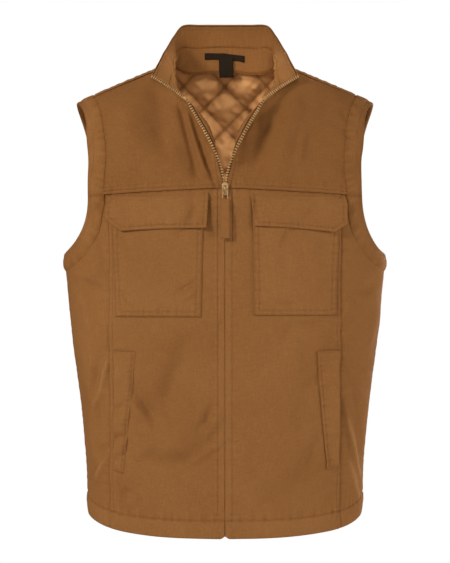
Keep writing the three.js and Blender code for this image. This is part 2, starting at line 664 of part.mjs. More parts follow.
// The zip chain: side by side where it is shut, out beyond the edge of the cloth where it is open
function zipChain(sign) {
  const ring = ([edge, inside], e, depth) => {
    const into = inside.p.clone().sub(edge.p).normalize();
    const [w, h] = [ZIP.chain / 2, ZIP.thick / 2];
    const corners = [[e - w, depth - h], [e + w, depth - h], [e + w, depth + h], [e - w, depth + h]];
    return corners.map(([a, b]) => edge.p.clone().addScaledVector(into, a).addScaledVector(edge.n, b));
  };
  return tube([
    ...steps(8, (t) => {
      return ring(lowerEdge(mix(ZIP.foot, YOKE.centre - 8, t), sign, [0, 3]), 0.65, -3.6);
    }),
    ...THROAT_ROWS.map((t) => {
      return ring(throatEdge(t, sign, [0, 3]), chainPlace(t), mix(-3.6, -2.4, parting(t)));
    }),
    ...ZIP_LEVELS.map((h) => ring(collarEdge(h, sign, [0, 3]), -2.3, 0)),
  ]);
}
function zipTape(sign) {
  const into = [0.6, 5, 10, ZIP.tape + 1];
  const closed = into.map((e) => e + 2.6);
  const near = [
    ...steps(8, (t) => lowerEdge(mix(ZIP.foot, YOKE.centre - 8, t), sign, closed)),
    ...THROAT_ROWS.map((t) => {
      const first = Math.max(into[0], chainPlace(t) + ZIP.chain / 2 + 0.5);
      return throatEdge(t, sign, [first, ...into.slice(1)]);
    }),
  ];
  const narrower = into.map((e) => e * 0.6);
  const collar = ZIP_LEVELS.map((h) => collarEdge(h, sign, narrower));
  const h = ZIP.tapeThick / 2;
  const at = (by) => [...layer(near, by - SEAM_DEPTH), ...layer(collar, by)];
  return slab(at(h), at(-h), () => sign < 0);
}
SIDES.forEach(({ name, sign }) => {
  piece(`zip_chain_${name}`, zipChain(sign), TEETH);
  piece(`zip_tape_${name}`, zipTape(sign), TAPE);
});

// The strip of shell cloth inside each front edge
function frontFacing(sign) {
  const into = [3.4, 8, 12, 16, 20, FACING.width];
  const lower = steps(9, (t) =>
    into.map((e) => {
      const x = FRONT_GAP + e;
      return surface(sign * x, mix(hemZ(x) + 3, yokeZ(x) - 6, t), FRONT);
    }),
  );
  const upper = THROAT_ROWS.slice(1).map((t) =>
    throatEdge(t, sign, [mix(2.8, 1.2, t), 5, 10, 15, 20, FACING.width]),
  );
  return [...lower, ...upper];
}
SIDES.forEach(({ name, sign }) => {
  const grid = frontFacing(sign);
  const out = layer(grid, -FACING.depth);
  const inside = layer(grid, -FACING.depth - FACING.thick);
  piece(`front_facing_${name}`, slab(out, inside, () => sign < 0), DUCK);
});

// The quilted lining: stitched crossings lie low, the pillows between them stand high
const quilted = (grid, depth) =>
  grid.map((row, r) =>
    row.map((q, c) => {
      const puffed = (r + c) % 2 === 0;
      const edge = r === 0 || c === 0 || r === grid.length - 1 || c === row.length - 1;
      const thick = puffed && !edge ? LINING.puff : LINING.thin;
      return offset(q, -depth - thick);
    }),
  );
const quiltSplit = (r, c) => (r + c) % 2 === 0;
function liningFront(sign) {
  const cols = 6;
  const row = (inner, outer) =>
    steps(cols, (s) => {
      const z = mix(inner[1], outer[1], s);
      const angle = mix(angleAt(inner[0], inner[1]), angleAt(outer[0], outer[1]), s);
      const x = halfAt(z) * Math.sin(angle) ** (2 / SECTION_POWER);
      return surface(sign * x, z, FRONT);
    });
  const lower = steps(12, (t) => {
    const [angle, z] = sideOuter(t);
    const lift = LINING.hem * (1 - t);
    const x = halfAt(z) * Math.sin(angle - 0.02) ** (2 / SECTION_POWER);
    const start = FRONT_GAP + FACING.width + 2;
    return row([start, mix(hemZ(start), yokeZ(start) - 6, t) + lift], [x, z + lift]);
  });
  const upper = steps(5, (t) => {
    const share = mix(0.06, 0.96, t);
    const from = throat(share, 1).at;
    const bound = armhole("seam", mix(YOKE_TURN, SHOULDER_TURN, share));
    const rolled = yokeRow(share, 1);
    const reach = share < EDGE_SHARE ? FACING.width + 3 : mix(FACING.width + 3, 4, t);
    const inner = rolled.at(reach).p;
    return row([Math.max(inner.x, from[0]), inner.z], [bound.x - 1.5, bound.z]);
  });
  return [...lower, ...upper];
}
SIDES.forEach(({ name, sign }) => {
  const grid = liningFront(sign);
  const inside = quilted(grid, LINING.front);
  piece(`lining_front_${name}`, slab(layer(grid, -LINING.front), inside, quiltSplit), TAFFETA);
});
// Behind, the lining follows the panel's own rows and stops short of the hem
const raised = back[0].map(({ p, n }, c) => ({ p: p.clone().lerp(back[1][c].p, LINING.hemShare), n }));
const liningBack = [raised, ...back.slice(1)];
const liningInside = quilted(liningBack, LINING.back);
const NECK_ROW = 13; // rows above this bend too sharply to be split along the quilting
const backSplit = mirrorSplit(BACK_HALF);
const backQuilt = (r, c) => (r < NECK_ROW ? quiltSplit(r, c) : backSplit(r, c));
const liningOutside = layer(liningBack, -LINING.back);
piece("lining_back", slab(liningOutside, liningInside, backSplit, backQuilt), TAFFETA);

// Patch pockets, flaps and welts lie on the fronts
const patch = (sign, cols, rows, place) =>
  steps(rows, (t) => steps(cols, (s) => surface(sign * place(s, t)[0], place(s, t)[1], FRONT)));
SIDES.forEach(({ name, sign }) => {
  const split = () => sign < 0;
  const applied = (label, grid, lift, thick) =>
    piece(`${label}_${name}`, slab(layer(grid, lift + thick), layer(grid, lift), split), DUCK);
  const pocket = patch(sign, 6, 7, (s, t) => {
    return [mix(POCKET.inner, POCKET.outer, s), mix(POCKET.foot, POCKET.top, t)];
  });
  applied("chest_pocket", pocket, POCKET.lift, POCKET.thick);
  const flap = patch(sign, 8, 3, (s, t) => {
    const x = mix(FLAP.inner, FLAP.outer, s);
    const cut = Math.max(0, x - (FLAP.outer - FLAP.chamfer)) * 0.8;
    return [x, mix(yokeZ(x) - FLAP.drop + cut, yokeZ(x) - 2, t)];
  });
  applied("pocket_flap", flap, FLAP.lift, FLAP.thick);
  const welt = patch(sign, 2, 8, (s, t) => {
    const inner = WELT.outer - mix(WELT.narrow, WELT.wide, t);
    return [mix(inner, WELT.outer, s), mix(WELT.foot, WELT.top, t) + 3 * s];
  });
  applied("hand_pocket_welt", welt, WELT.lift, WELT.thick);
});

// Bare labels inside the neck: a long strip on the neck facing, and a small tab hanging below it
const labelDepth = half + COLLAR.facing + 0.8;
const strip = [0.16, 0.36].map((h) => steps(4, (t) => collarPoint(mix(-0.12, 0.12, t), h)));
piece("neck_label", slab(layer(strip, -labelDepth), layer(strip, -labelDepth - 0.6)), LABEL);
const TAG = { half: 11.5, top: 25, foot: -6, y: 78.4, lean: 4.6, thick: 0.5 };
const tag = [TAG.foot, TAG.top].map((z, r) =>
  [-TAG.half, TAG.half].map((x) => ({ p: vec(x, TAG.y - TAG.lean * (1 - r), z), n: vec(0, 1, 0) })),
);
piece("size_label", slab(layer(tag, 0), layer(tag, -TAG.thick)), LABEL);

// The slider on the chain, the link that hangs from its arch, and the cloth tab on the link
const box = (size, at) => {
  const geometry = new THREE.BoxGeometry(...size);
  geometry.translate(...at);
  return solid(geometry);
};
const rod = (radius, length, at) => {
  const geometry = new THREE.CylinderGeometry(radius, radius, length, 16);
  geometry.rotateZ(Math.PI / 2);
  geometry.translate(...at);
  return solid(geometry);
};
const SLIDER = { z: -196, wide: 10, tall: 20, plate: 1.8, arch: 4.6 };
const frontY = bodyY(0, SLIDER.z, FRONT);
const plateY = frontY - 2.4;
const PIVOT = { y: plateY - SLIDER.plate - 2, z: SLIDER.z - 1 };
const slider = box([SLIDER.wide, SLIDER.plate, SLIDER.tall], [0, plateY - SLIDER.plate / 2, SLIDER.z])
  .add(box([2.4, SLIDER.arch, 11], [0, plateY - SLIDER.plate - SLIDER.arch / 2 + 0.2, PIVOT.z]))
  .subtract(rod(1.35, 8, [0, PIVOT.y, PIVOT.z]));
piece("zip_slider", geometryOf(slider), METAL);

const LINK = { wide: 9.4, eye: 6, drop: 20, thick: 1.6 };
const link = box([LINK.wide, LINK.thick, LINK.drop], [0, PIVOT.y, PIVOT.z - LINK.drop / 2])
  .subtract(box([LINK.eye, 4, LINK.drop - 2], [0, PIVOT.y, PIVOT.z + 1 - LINK.drop / 2]))
  .add(rod(0.9, LINK.wide, [0, PIVOT.y, PIVOT.z]));
piece("zip_puller", geometryOf(link), METAL);

const TAB = { wide: 13, thick: 2.2, long: 52, neck: 5.2 };
const barZ = PIVOT.z - LINK.drop + 1.5;
const tab = box([TAB.wide, TAB.thick, TAB.long], [0, PIVOT.y, barZ - 2.3 - TAB.long / 2])
  .add(box([TAB.neck, 4.6, 8], [0, PIVOT.y, barZ + 0.2]))
  .subtract(box([LINK.wide + 1, LINK.thick + 0.8, 3.8], [0, PIVOT.y, barZ]));
piece("zip_pull_tab", geometryOf(tab), DUCK);

const footY = bodyY(0, ZIP.foot, FRONT);
piece("zip_stop", geometryOf(box([6, 3.4, 11], [0, footY + 4.6, ZIP.foot - 6.2])), METAL);

export default vest;
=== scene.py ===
# An insulated canvas work vest dressed over its solid parts: woven duck panels with their folds,
# seams and topstitching, a diamond quilted lining, an open front zip and bare labels.
#
# Lengths are in millimetres until a mesh is made. +X is the wearer's left, -Y the front, +Z up.
import math

import bmesh
import bpy
import numpy as np
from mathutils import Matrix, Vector
from mathutils.bvhtree import BVHTree


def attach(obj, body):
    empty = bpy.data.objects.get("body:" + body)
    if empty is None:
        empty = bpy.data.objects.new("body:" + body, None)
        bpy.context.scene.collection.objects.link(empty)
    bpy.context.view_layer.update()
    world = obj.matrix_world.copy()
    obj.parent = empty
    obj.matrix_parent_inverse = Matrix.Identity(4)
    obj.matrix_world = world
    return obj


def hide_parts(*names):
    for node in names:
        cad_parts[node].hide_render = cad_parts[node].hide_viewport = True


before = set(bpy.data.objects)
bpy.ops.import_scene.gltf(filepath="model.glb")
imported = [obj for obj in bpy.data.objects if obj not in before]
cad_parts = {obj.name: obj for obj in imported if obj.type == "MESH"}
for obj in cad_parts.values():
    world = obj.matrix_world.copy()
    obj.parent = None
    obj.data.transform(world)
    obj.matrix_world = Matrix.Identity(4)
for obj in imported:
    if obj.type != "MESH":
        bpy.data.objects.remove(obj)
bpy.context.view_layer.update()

MM = 0.001
FRONT = True
BACK = False
# The wearer's sides, by the sign of x
SIDE_WORD = {1: "left", -1: "right"}

# Sizes shared with the solids
BODY_LENGTH = 718
SIDE_RISE = 33
SECTION_POWER = 2.4
CAP_Z = -200
CAP_POWER_FRONT = 2.1
CAP_POWER_BACK = 2.8
CAP_ARC = 260
CAP_HALF = 250
SHOULDER_SLOPE = 0.43
SHOULDER_ZERO = 110
SHOULDER_ROUND = 36
NECK_HALF = 85
NECK_LEVEL = 11
NECK_BOW = 5
NECK_SHARE = 5 / 8
SEAM_OVER_SHOULDER = 45
YOKE_CENTRE = -194
YOKE_FALL = 0.048
SIDE_SEAM_X = 174
FRONT_GAP = 1.2
FRONT_MEET = -0.08
ROLL_LENGTH = 23
ROLL_ANGLE = 3.05
EDGE_SHARE = 0.6
SHELL = 1.5
SEAM_DEPTH = 2.65
ARM_CLEAR = 0.45
ARMPIT_BACK = 9 / 19
ARMPIT_SIDE = 13 / 18
ZIP_FOOT = -652

# Level sections of the body: level, half width, depth in front and depth behind
SECTIONS = np.array([
    (-760, 211, 110, 110),
    (-690, 213, 113, 113),
    (-610, 216, 118, 116),
    (-516, 224.5, 123, 120),
    (-423, 237, 127, 126),
    (-329, 246, 130, 132),
    (-285, 249.5, 131, 135),
    (-200, 250, 131, 138),
    (60, 250, 131, 138),
])

# Armhole loops in side view: top, foot, reach in front and reach behind
ARMHOLE = {"edge": (-53, -290, 87, 84), "seam": (-42, -318, 101, 102)}
ARMPIT_Z = ARMHOLE["seam"][1]
LOOP_ABOVE = 2
LOOP_BELOW = 3.5

# The open front edge from the zip slider to the neck seam: across, level, share of the full roll
FRONT_EDGE = np.array([
    (1.2, -194, 0),
    (8, -170, 0.25),
    (17, -143, 0.6),
    (29, -115, 0.9),
    (43, -90, 0.85),
    (60, -67, 0.5),
])

# The collar's top edge from the middle of the back to its front corner
COLLAR_TOP = np.array([
    (0, 92, 79),
    (40, 92, 79),
    (68, 86, 77),
    (81, 70, 59),
    (90, 44, 38),
    (95.5, 18, 24),
    (100, -10, 9),
    (105, -40, -6),
    (111, -72, -23),
])
# How far the collar bows out, its height, and half its length
COLLAR_BOW = 14
COLLAR_HEIGHT = 68
COLLAR_LENGTH = 330

# Folds of the fronts, each along a line seen from the front: x, z at both ends, width and height
FRONT_FOLDS = [
    ("left zip ridge", 34, -104, 22, -182, 13, 2.3),
    ("left throat hollow", 60, -88, 46, -176, 17, -1.1),
    ("left yoke drape", 104, -60, 74, -180, 17, 4),
    ("right zip ridge", -34, -106, -20, -184, 10, 3.5),
    ("right throat hollow", -78, -96, -46, -180, 12, -1.4),
    ("right yoke drape", -142, -44, -146, -176, 22, 4),
    ("right waist drape", -54, -420, -104, -532, 19, -4.6),
    ("right welt pull", -142, -480, -106, -546, 11, -3.6),
    ("right hip swell", -86, -600, -30, -520, 20, 5),
    ("left hip swell", 60, -640, 132, -560, 22, 4),
    ("right throat crease", -68, -62, -40, -176, 5, -4.2),
    ("right throat crest", -60, -72, -30, -172, 6, 3.6),
    ("right edge crease", -52, -84, -14, -190, 5, -4.2),
    ("right shoulder hollow", -102, -40, -86, -166, 17, -3.3),
    ("left shoulder shade", 98, -48, 62, -124, 20, -1.9),
    ("left shoulder crest", 80, -84, 64, -150, 14, 1.3),
    ("left edge crease", 47, -112, 40, -150, 7, -0.8),
    ("left pocket foot crease", 108, -397, 150, -396, 4, -2),
    ("right zip crease", -16, -515, -38, -553, 7, -3.2),
    ("right hem crease", -122, -600, -46, -604, 15, -4),
    ("right low crease", -154, -648, -140, -656, 6, -2),
    ("right side pull", -190, -596, -176, -582, 6, -2),
    ("right side fold", -196, -470, -188, -560, 9, -2.6),
    ("right side crest", -206, -440, -200, -600, 10, 2.4),
    ("left welt crease", 139, -566, 120, -602, 8, -2.6),
    ("left side crest", 181, -516, 203, -634, 6, 3.6),
    ("left side hollow", 193, -500, 211, -610, 6, -2.8),
    ("left waist crest", 227, -386, 218, -436, 6, 2),
    ("left low drape", 30, -590, 70, -690, 16, -2.4),
    ("left long drape", 96, -430, 88, -610, 22, 2.4),
    ("right armpit pull", -230, -332, -182, -350, 9, -2.6),
    ("right armpit swell", -212, -366, -190, -430, 14, 2.6),
    ("left armpit pull", 232, -334, 190, -356, 9, -2.2),
    ("right chest drape", -186, -250, -178, -330, 9, -2),
    ("right welt fold", -137, -498, -106, -540, 5, -1),
    ("right welt crest", -143, -508, -113, -549, 5, 1.8),
    ("right zip crest", -8, -530, -30, -567, 6, 1.6),
    ("right hem ripple", -158, -670, -133, -681, 5, -2),
    ("right hip crease", -160, -628, -150, -660, 5, -1.6),
    ("right side arc", -176, -450, -198, -520, 5, 2.4),
    ("right side dip", -187, -450, -209, -524, 7, -2.2),
    ("right side tuck", -181, -602, -198, -636, 5, 2.4),
    ("right upper pucker", -133, -516, -112, -529, 4, -1.5),
    ("right lower pucker", -133, -559, -118, -571, 4, -1.7),
    ("right armpit hollow", -208, -338, -194, -398, 17, -3),
    ("right armpit crest", -206, -306, -184, -330, 8, 2.2),
]

# The fronts' folds are made this many times as high as their rows say
FRONT_FOLD_DEPTH = 1.9

# Crests of the side panels with a painted highlight along them, given as a lightness in place of a height
PAINTED_CREST_HIGHLIGHTS = [
    ("left side line", 183, -540, 207, -630, 2.4, 1.0),
    ("left hem line", 190, -606, 209, -668, 2.4, 1.0),
    ("right side line", -176, -450, -198, -520, 3, 0.45),
    ("right hem line", -181, -602, -198, -636, 2.6, 0.45),
]

# Soft folds of the back, in the same columns
BACK_FOLDS = [
    ("right blade drape", -96, -60, -118, -250, 24, 3.5),
    ("left blade drape", 96, -60, 116, -260, 24, 3.5),
    ("right armhole pull", -196, -250, -120, -330, 13, -3.2),
    ("left armhole pull", 196, -254, 122, -338, 13, -3.2),
    ("right waist drape", -70, -380, -92, -640, 26, -3.5),
    ("left waist drape", 62, -400, 84, -660, 26, -3.5),
    ("middle swell", 4, -300, -6, -560, 40, 3),
    ("right hip crest", -132, -480, -150, -680, 18, 3),
    ("left hip crest", 130, -470, 146, -670, 18, 3),
    ("neck pull", -40, -36, 40, -40, 16, -2),
]

# Chest pockets by side: inner and outer edge at top and foot, levels of top and foot
POCKETS = {
    1: dict(inner=41, inner_foot=43, outer=172, outer_foot=167, top=-206, foot=-384),
    -1: dict(inner=31, inner_foot=35, outer=170, outer_foot=164, top=-206, foot=-386),
}
# Pocket flaps by side: inner edge at top and foot, outer edge, level of the foot at either end,
# and the width and height of the cut corner
FLAPS = {
    1: dict(inner=36, inner_foot=44, outer=181, foot_inner=-251, foot_outer=-262, corner=20, cut=15),
    -1: dict(inner=23, inner_foot=27, outer=179, foot_inner=-254, foot_outer=-260, corner=26, cut=21),
}
# Hand pocket welts by side: level of top and foot, outer edge, width at top and foot
WELTS = {
    1: dict(top=-437, foot=-616, outer=170, wide=33, narrow=18),
    -1: dict(top=-438, foot=-622, outer=166, wide=33, narrow=15),
}

# Quilted diamonds: width, distance between sewn lines, level of a crossing, height of the padding
QUILT = 68
QUILT_ACROSS = 0.7 * QUILT
QUILT_LEVEL = -15
QUILT_PUFF = 12
# How far the painted shade along a sewn line of the quilting reaches to either side, and how dark it is
SEWN_LINE = 2.2
SEWN_SHADE = 0.16

HEM_BAND = 27
# How deep the front seams lie, by side
SEAM_SHARE = {1: 0.75, -1: 0.4}

# Rows of stitching, by their distance in from an edge; the armhole band's by its share of the width
YOKE_ROW = 5.5
EDGE_ROW = 6.5
ZIP_ROW = 10.5
SIDE_ROW = 5
POCKET_ROWS = (2, 8)
FLAP_ROW = 6
WELT_ROW = 4
BAND_ROW = 0.8


def smooth(low, high, v):
    t = np.clip((np.asarray(v, float) - low) / (high - low), 0, 1)
    return t * t * (3 - 2 * t)


def mix(a, b, t):
    return a + (b - a) * t


def ridge(d, width):
    return np.exp(-((d / width) ** 2))


def signed_power(v, p):
    return np.sign(v) * np.abs(v) ** p


def column(keys, values, at):
    """A smooth curve through one column of a table, against another that rises or falls."""
    keys, values = np.asarray(keys, float), np.asarray(values, float)
    if keys[-1] < keys[0]:
        keys, values = keys[::-1], values[::-1]
    k = np.arange(len(keys))
    up, down = np.minimum(k + 1, len(k) - 1), np.maximum(k - 1, 0)
    slope = (values[up] - values[down]) / (keys[up] - keys[down])
    t = np.clip(at, keys[0], keys[-1])
    i = np.clip(np.searchsorted(keys, t) - 1, 0, len(k) - 2)
    span = keys[i + 1] - keys[i]
    f = (t - keys[i]) / span
    ends = (2 * f**3 - 3 * f**2 + 1) * values[i] + (3 * f**2 - 2 * f**3) * values[i + 1]
    return ends + span * ((f**3 - 2 * f**2 + f) * slope[i] + (f**3 - f**2) * slope[i + 1])


def half_at(z):
    return column(SECTIONS[:, 0], SECTIONS[:, 1], z)


def depth_at(z, front):
    return np.where(
        front,
        column(SECTIONS[:, 0], SECTIONS[:, 2], z),
        column(SECTIONS[:, 0], SECTIONS[:, 3], z),
    )


def cap_power(front):
    return np.where(front, CAP_POWER_FRONT, CAP_POWER_BACK)


def ridge_at(x):
    """Level of the shoulder ridge."""
    return SHOULDER_SLOPE * (SHOULDER_ZERO - np.hypot(x, SHOULDER_ROUND))


def ridge_x(z):
    """The other way round: where the ridge has a level."""
    reach = np.maximum(SHOULDER_ZERO - z / SHOULDER_SLOPE, SHOULDER_ROUND)
    return np.sqrt(reach**2 - SHOULDER_ROUND**2)


def across(x, z):
    left = 1 - (np.abs(x) / half_at(z)) ** SECTION_POWER
    return np.maximum(0, left) ** (1 / SECTION_POWER)


def body_y(x, z, front):
    """Depth of the body's surface: level sections, and a cap that closes over the shoulders."""
    power = cap_power(front)
    rise = np.clip((z - CAP_Z) / (ridge_at(x) - CAP_Z), 0, 1)
    depth = depth_at(z, front) * across(x, z) * (1 - rise**power) ** (1 / power)
    return np.where(front, -depth, depth)


def body_x(y, z, front):
    """Where the body's surface has a depth at a level, found by halving."""
    y, z = np.broadcast_arrays(np.asarray(y, float), np.asarray(z, float))
    low = np.zeros_like(y)
    high = np.minimum(half_at(z), np.where(z > CAP_Z, ridge_x(z), 1e9))
    for _ in range(36):
        middle = (low + high) / 2
        inside = np.abs(body_y(middle, z, front)) > np.abs(y)
        low = np.where(inside, middle, low)
        high = np.where(inside, high, middle)
    return (low + high) / 2


def level_set(x, y, z, front):
    depth = depth_at(z, front)
    power = cap_power(front)
    below = (np.abs(x) / half_at(z)) ** SECTION_POWER + (np.abs(y) / depth) ** SECTION_POWER
    rise = np.maximum(0, (z - CAP_Z) / (ridge_at(x) - CAP_Z))
    left = np.maximum(1e-3, depth * across(x, z))
    return np.where(z <= CAP_Z, below, (np.abs(y) / left) ** power + rise**power)


def unit(v):
    return v / np.maximum(1e-9, np.linalg.norm(v, axis=-1, keepdims=True))


def body_normal(p, front):
    h = 0.4
    x, y, z = p[..., 0], p[..., 1], p[..., 2]
    slopes = [
        level_set(x + h, y, z, front) - level_set(x - h, y, z, front),
        level_set(x, y + h, z, front) - level_set(x, y - h, z, front),
        level_set(x, y, z + h, front) - level_set(x, y, z - h, front),
    ]
    return unit(np.stack(slopes, -1))


def surface(x, z, front):
    x, z = np.broadcast_arrays(np.asarray(x, float), np.asarray(z, float))
    p = np.stack([x, body_y(x, z, front), z], -1)
    return p, body_normal(p, front)


def section_x(angle, z):
    return half_at(z) * np.abs(np.sin(angle)) ** (2 / SECTION_POWER)


def ring(angle, z):
    """The body below its cap by angle round a level section: 0 in front, a quarter turn at the side."""
    front = np.cos(angle) > 0
    y = -depth_at(z, front) * signed_power(np.cos(angle), 2 / SECTION_POWER)
    p = np.stack(np.broadcast_arrays(section_x(angle, z), y, z), -1)
    return p, body_normal(p, front)


def mirror(sign):
    """Turns points of the wearer's left side into points of the side that is asked for."""
    return np.array([sign, 1, 1])


def angle_at(x, z):
    return np.arcsin(np.clip(np.abs(x) / half_at(z), 0, 1) ** (SECTION_POWER / 2))


def wrapped(angle, run):
    """The body by angle from the middle of the back and run of cloth, up the back and over the ridge."""
    share = 2 / SECTION_POWER
    sine, cosine = np.abs(np.sin(angle)) ** share, signed_power(np.cos(angle), share)
    low_z = CAP_Z + np.minimum(run, 0)
    low = np.stack([half_at(low_z) * sine, depth_at(low_z, cosine < 0) * cosine, low_z], -1)
    turn = np.maximum(run, 0) / CAP_ARC * math.pi / 2
    front = turn > math.pi / 2
    power = 2 / cap_power(front)
    x = CAP_HALF * sine
    z = CAP_Z + (ridge_at(x) - CAP_Z) * np.abs(np.sin(turn)) ** power
    y = depth_at(z, front) * across(x, z) * signed_power(np.cos(turn), power)
    high = np.stack([x, y, z], -1)
    above = run > 0
    p = np.where(above[..., None], high, low)
    return p, body_normal(p, np.where(above, front, cosine < 0))


def run_at(x, z, front):
    """Run of cloth up the back and over the ridge."""
    rise = np.clip((z - CAP_Z) / (ridge_at(x) - CAP_Z), 0, 1)
    turn = np.arcsin(rise ** (cap_power(front) / 2))
    over = CAP_ARC * np.where(front, math.pi - turn, turn) / (math.pi / 2)
    return np.where(z <= CAP_Z, z - CAP_Z, over)


def armhole(loop, turn):
    """Points of an armhole by share of a turn, from its top round by the front."""
    top, foot, ahead, behind = ARMHOLE[loop]
    c, s = np.cos(2 * math.pi * turn), np.sin(2 * math.pi * turn)
    power = np.where(c > 0, LOOP_ABOVE, LOOP_BELOW)
    tall = (top - foot) / 2
    deep = np.where(s > 0, ahead, behind)
    reach = (np.abs(s / deep) ** power + np.abs(c / tall) ** power) ** (-1 / power)
    y, z = -reach * s, (top + foot) / 2 + reach * c
    front = s > 0
    return body_x(y, z, front), y, z, front


def hem_z(x):
    return -BODY_LENGTH + SIDE_RISE * (1 - across(x, -BODY_LENGTH))


def hem_x(angle):
    return section_x(angle, -BODY_LENGTH)


def yoke_z(x):
    return YOKE_CENTRE - YOKE_FALL * np.abs(x)


def shoulder_seam_z(x):
    turn = (math.pi / 2) * (1 + SEAM_OVER_SHOULDER / CAP_ARC)
    return CAP_Z + (ridge_at(x) - CAP_Z) * math.sin(turn) ** (2 / CAP_POWER_FRONT)


def first_turn(level):
    """The share of a turn at which the armhole's seam first falls below a line."""
    turns = np.arange(0.001, 0.5, 0.0002)
    x, _, z, _ = armhole("seam", turns)
    return turns[np.argmax(z < level(x))]


YOKE_TURN = first_turn(yoke_z)
SHOULDER_TURN = first_turn(shoulder_seam_z)


# Relief of the cloth, in millimetres out of the body's surface


def folds(table, x, z):
    """Height from a table of folds, each fading towards its ends."""
    total = np.zeros(np.broadcast(x, z).shape)
    for _, x0, z0, x1, z1, width, height in table:
        run = np.array([x1 - x0, z1 - z0], float)
        t = ((x - x0) * run[0] + (z - z0) * run[1]) / (run @ run)
        held = np.clip(t, 0, 1)
        off = np.hypot(x - x0 - run[0] * held, z - z0 - run[1] * held)
        fade = np.sin(math.pi * np.clip(mix(0.15, 0.85, t), 0, 1))
        total = total + height * fade * ridge(off, width)
    return total


WAVES = np.random.default_rng(11).uniform(0, 1, (18, 4))


def drift(a, b, reach):
    """Smooth seeded unevenness of the cloth, about one unit high, over lengths near reach."""
    total = np.zeros(np.broadcast(a, b).shape)
    for spin, phase, size, weight in WAVES:
        wave = reach * mix(0.6, 1.8, size)
        heading = math.pi * spin
        total = total + mix(0.4, 1, weight) * np.sin(
            2 * math.pi * ((a * math.cos(heading) + b * math.sin(heading)) / wave + phase)
        )
    return total / 4


def pucker(along, off, reach, wave):
    """The small gathers that a row of stitching draws up on either side of it."""
    uneven = np.sin(along / wave * 6.3 + 1.7 * np.sin(along / wave * 1.13))
    return (uneven + 0.6 * np.sin(along / wave * 10.1 + 2)) * ridge(off, reach)


def scattered(seed, count):
    """Small seeded creases of washed canvas, in the columns of the fold tables."""
    draw = np.random.default_rng(seed)
    rows = []
    for _ in range(count):
        x, z = draw.uniform(-235, 235), draw.uniform(-690, -70)
        lean, half = draw.normal(0, 0.6), draw.uniform(16, 46)
        run_x, run_z = half * math.sin(lean), half * math.cos(lean)
        height = draw.choice([-1, 1]) * draw.uniform(1.2, 3.2)
        rows.append(("crease", x - run_x, z - run_z, x + run_x, z + run_z, draw.uniform(4.5, 9), height))
    return rows


FRONT_CREASES = scattered(5, 64)
BACK_CREASES = scattered(8, 54)


def settled(x, z, front):
    """Folds die out where fronts and back are sewn together, at the sides and over the shoulders."""
    over = shoulder_seam_z(x) if front else ridge_at(x)
    return smooth(0.02, 0.35, across(x, z)) * smooth(-5, 45, over - z)


def front_base(x, z):
    large = FRONT_FOLD_DEPTH * folds(FRONT_FOLDS, x, z) + folds(FRONT_CREASES, x, z)
    return (large + 1.5 * drift(x, z, 85) + 0.7 * drift(x + 31, z, 32)) * settled(x, z, FRONT)


def on_front(x, z):
    """Points of the fronts with their folds, and the body's normals there."""
    p, n = surface(x, z, FRONT)
    return p + n * front_base(x, z)[..., None], n


def back_base(x, z):
    large = folds(BACK_FOLDS, x, z) + folds(BACK_CREASES, x, z)
    return (large + 1.5 * drift(x + 500, z, 100) + 0.7 * drift(x + 531, z, 34)) * settled(x, z, BACK)


def sewn_line(off, along, dent, gather):
    """A dent of some depth and width along a row of stitches, and gathers of a height, reach and wave."""
    depth, width = dent
    height, reach, wave = gather
    return height * pucker(along, off, reach, wave) - depth * ridge(off, width)


def hem_relief(h, along):
    puff = 1.5 * np.sin(math.pi * np.clip(h / HEM_BAND, 0, 1)) ** 0.8
    return puff + sewn_line(h - HEM_BAND, along, (0.75, 1.6), (0.4, 11, 15))


def hem_hold(h):
    """Share of the folds that the hem leaves, by height above it."""
    return mix(0.45, 1, smooth(0, 60, h))


def wall(h):
    """Thickness of the shell, which is more where the hem is turned up."""
    return SHELL + 3 * smooth(30, 18, h)


def seam_relief(off, along, proud, row):
    """A turned and topstitched seam edge: off is the distance in from its fold."""
    raised = proud * smooth(row + 6, row + 1, off)
    fold = -0.9 * smooth(2.2, -0.2, off)
    return raised + fold + sewn_line(off - row, along, (0.85, 1.2), (0.38, 9, 11))


# Meshes


def arc_uv(points):
    """Cloth coordinates in metres: the run along each row from its middle, and along each column."""
    across_step = np.linalg.norm(np.diff(points, axis=1), axis=2)
    along_step = np.linalg.norm(np.diff(points, axis=0), axis=2)
    u = np.concatenate([np.zeros((points.shape[0], 1)), np.cumsum(across_step, 1)], 1)
    u = u - u[:, u.shape[1] // 2][:, None]
    v = np.concatenate([np.zeros((1, points.shape[1])), np.cumsum(along_step, 0)], 0)
    return np.stack([u, v], -1) * MM


def in_scene(name, data):
    thing = bpy.data.objects.new(name, data)
    bpy.context.scene.collection.objects.link(thing)
    return thing


def add_uv(mesh, name, uv):
    """Gives a mesh a UV map from a pair of values at each of its points."""
    corners = np.zeros(len(mesh.loops), np.int64)
    mesh.loops.foreach_get("vertex_index", corners)
    layer = mesh.uv_layers.new(name=name)
    layer.data.foreach_set("uv", np.asarray(uv, float).reshape(-1, 2)[corners].ravel())


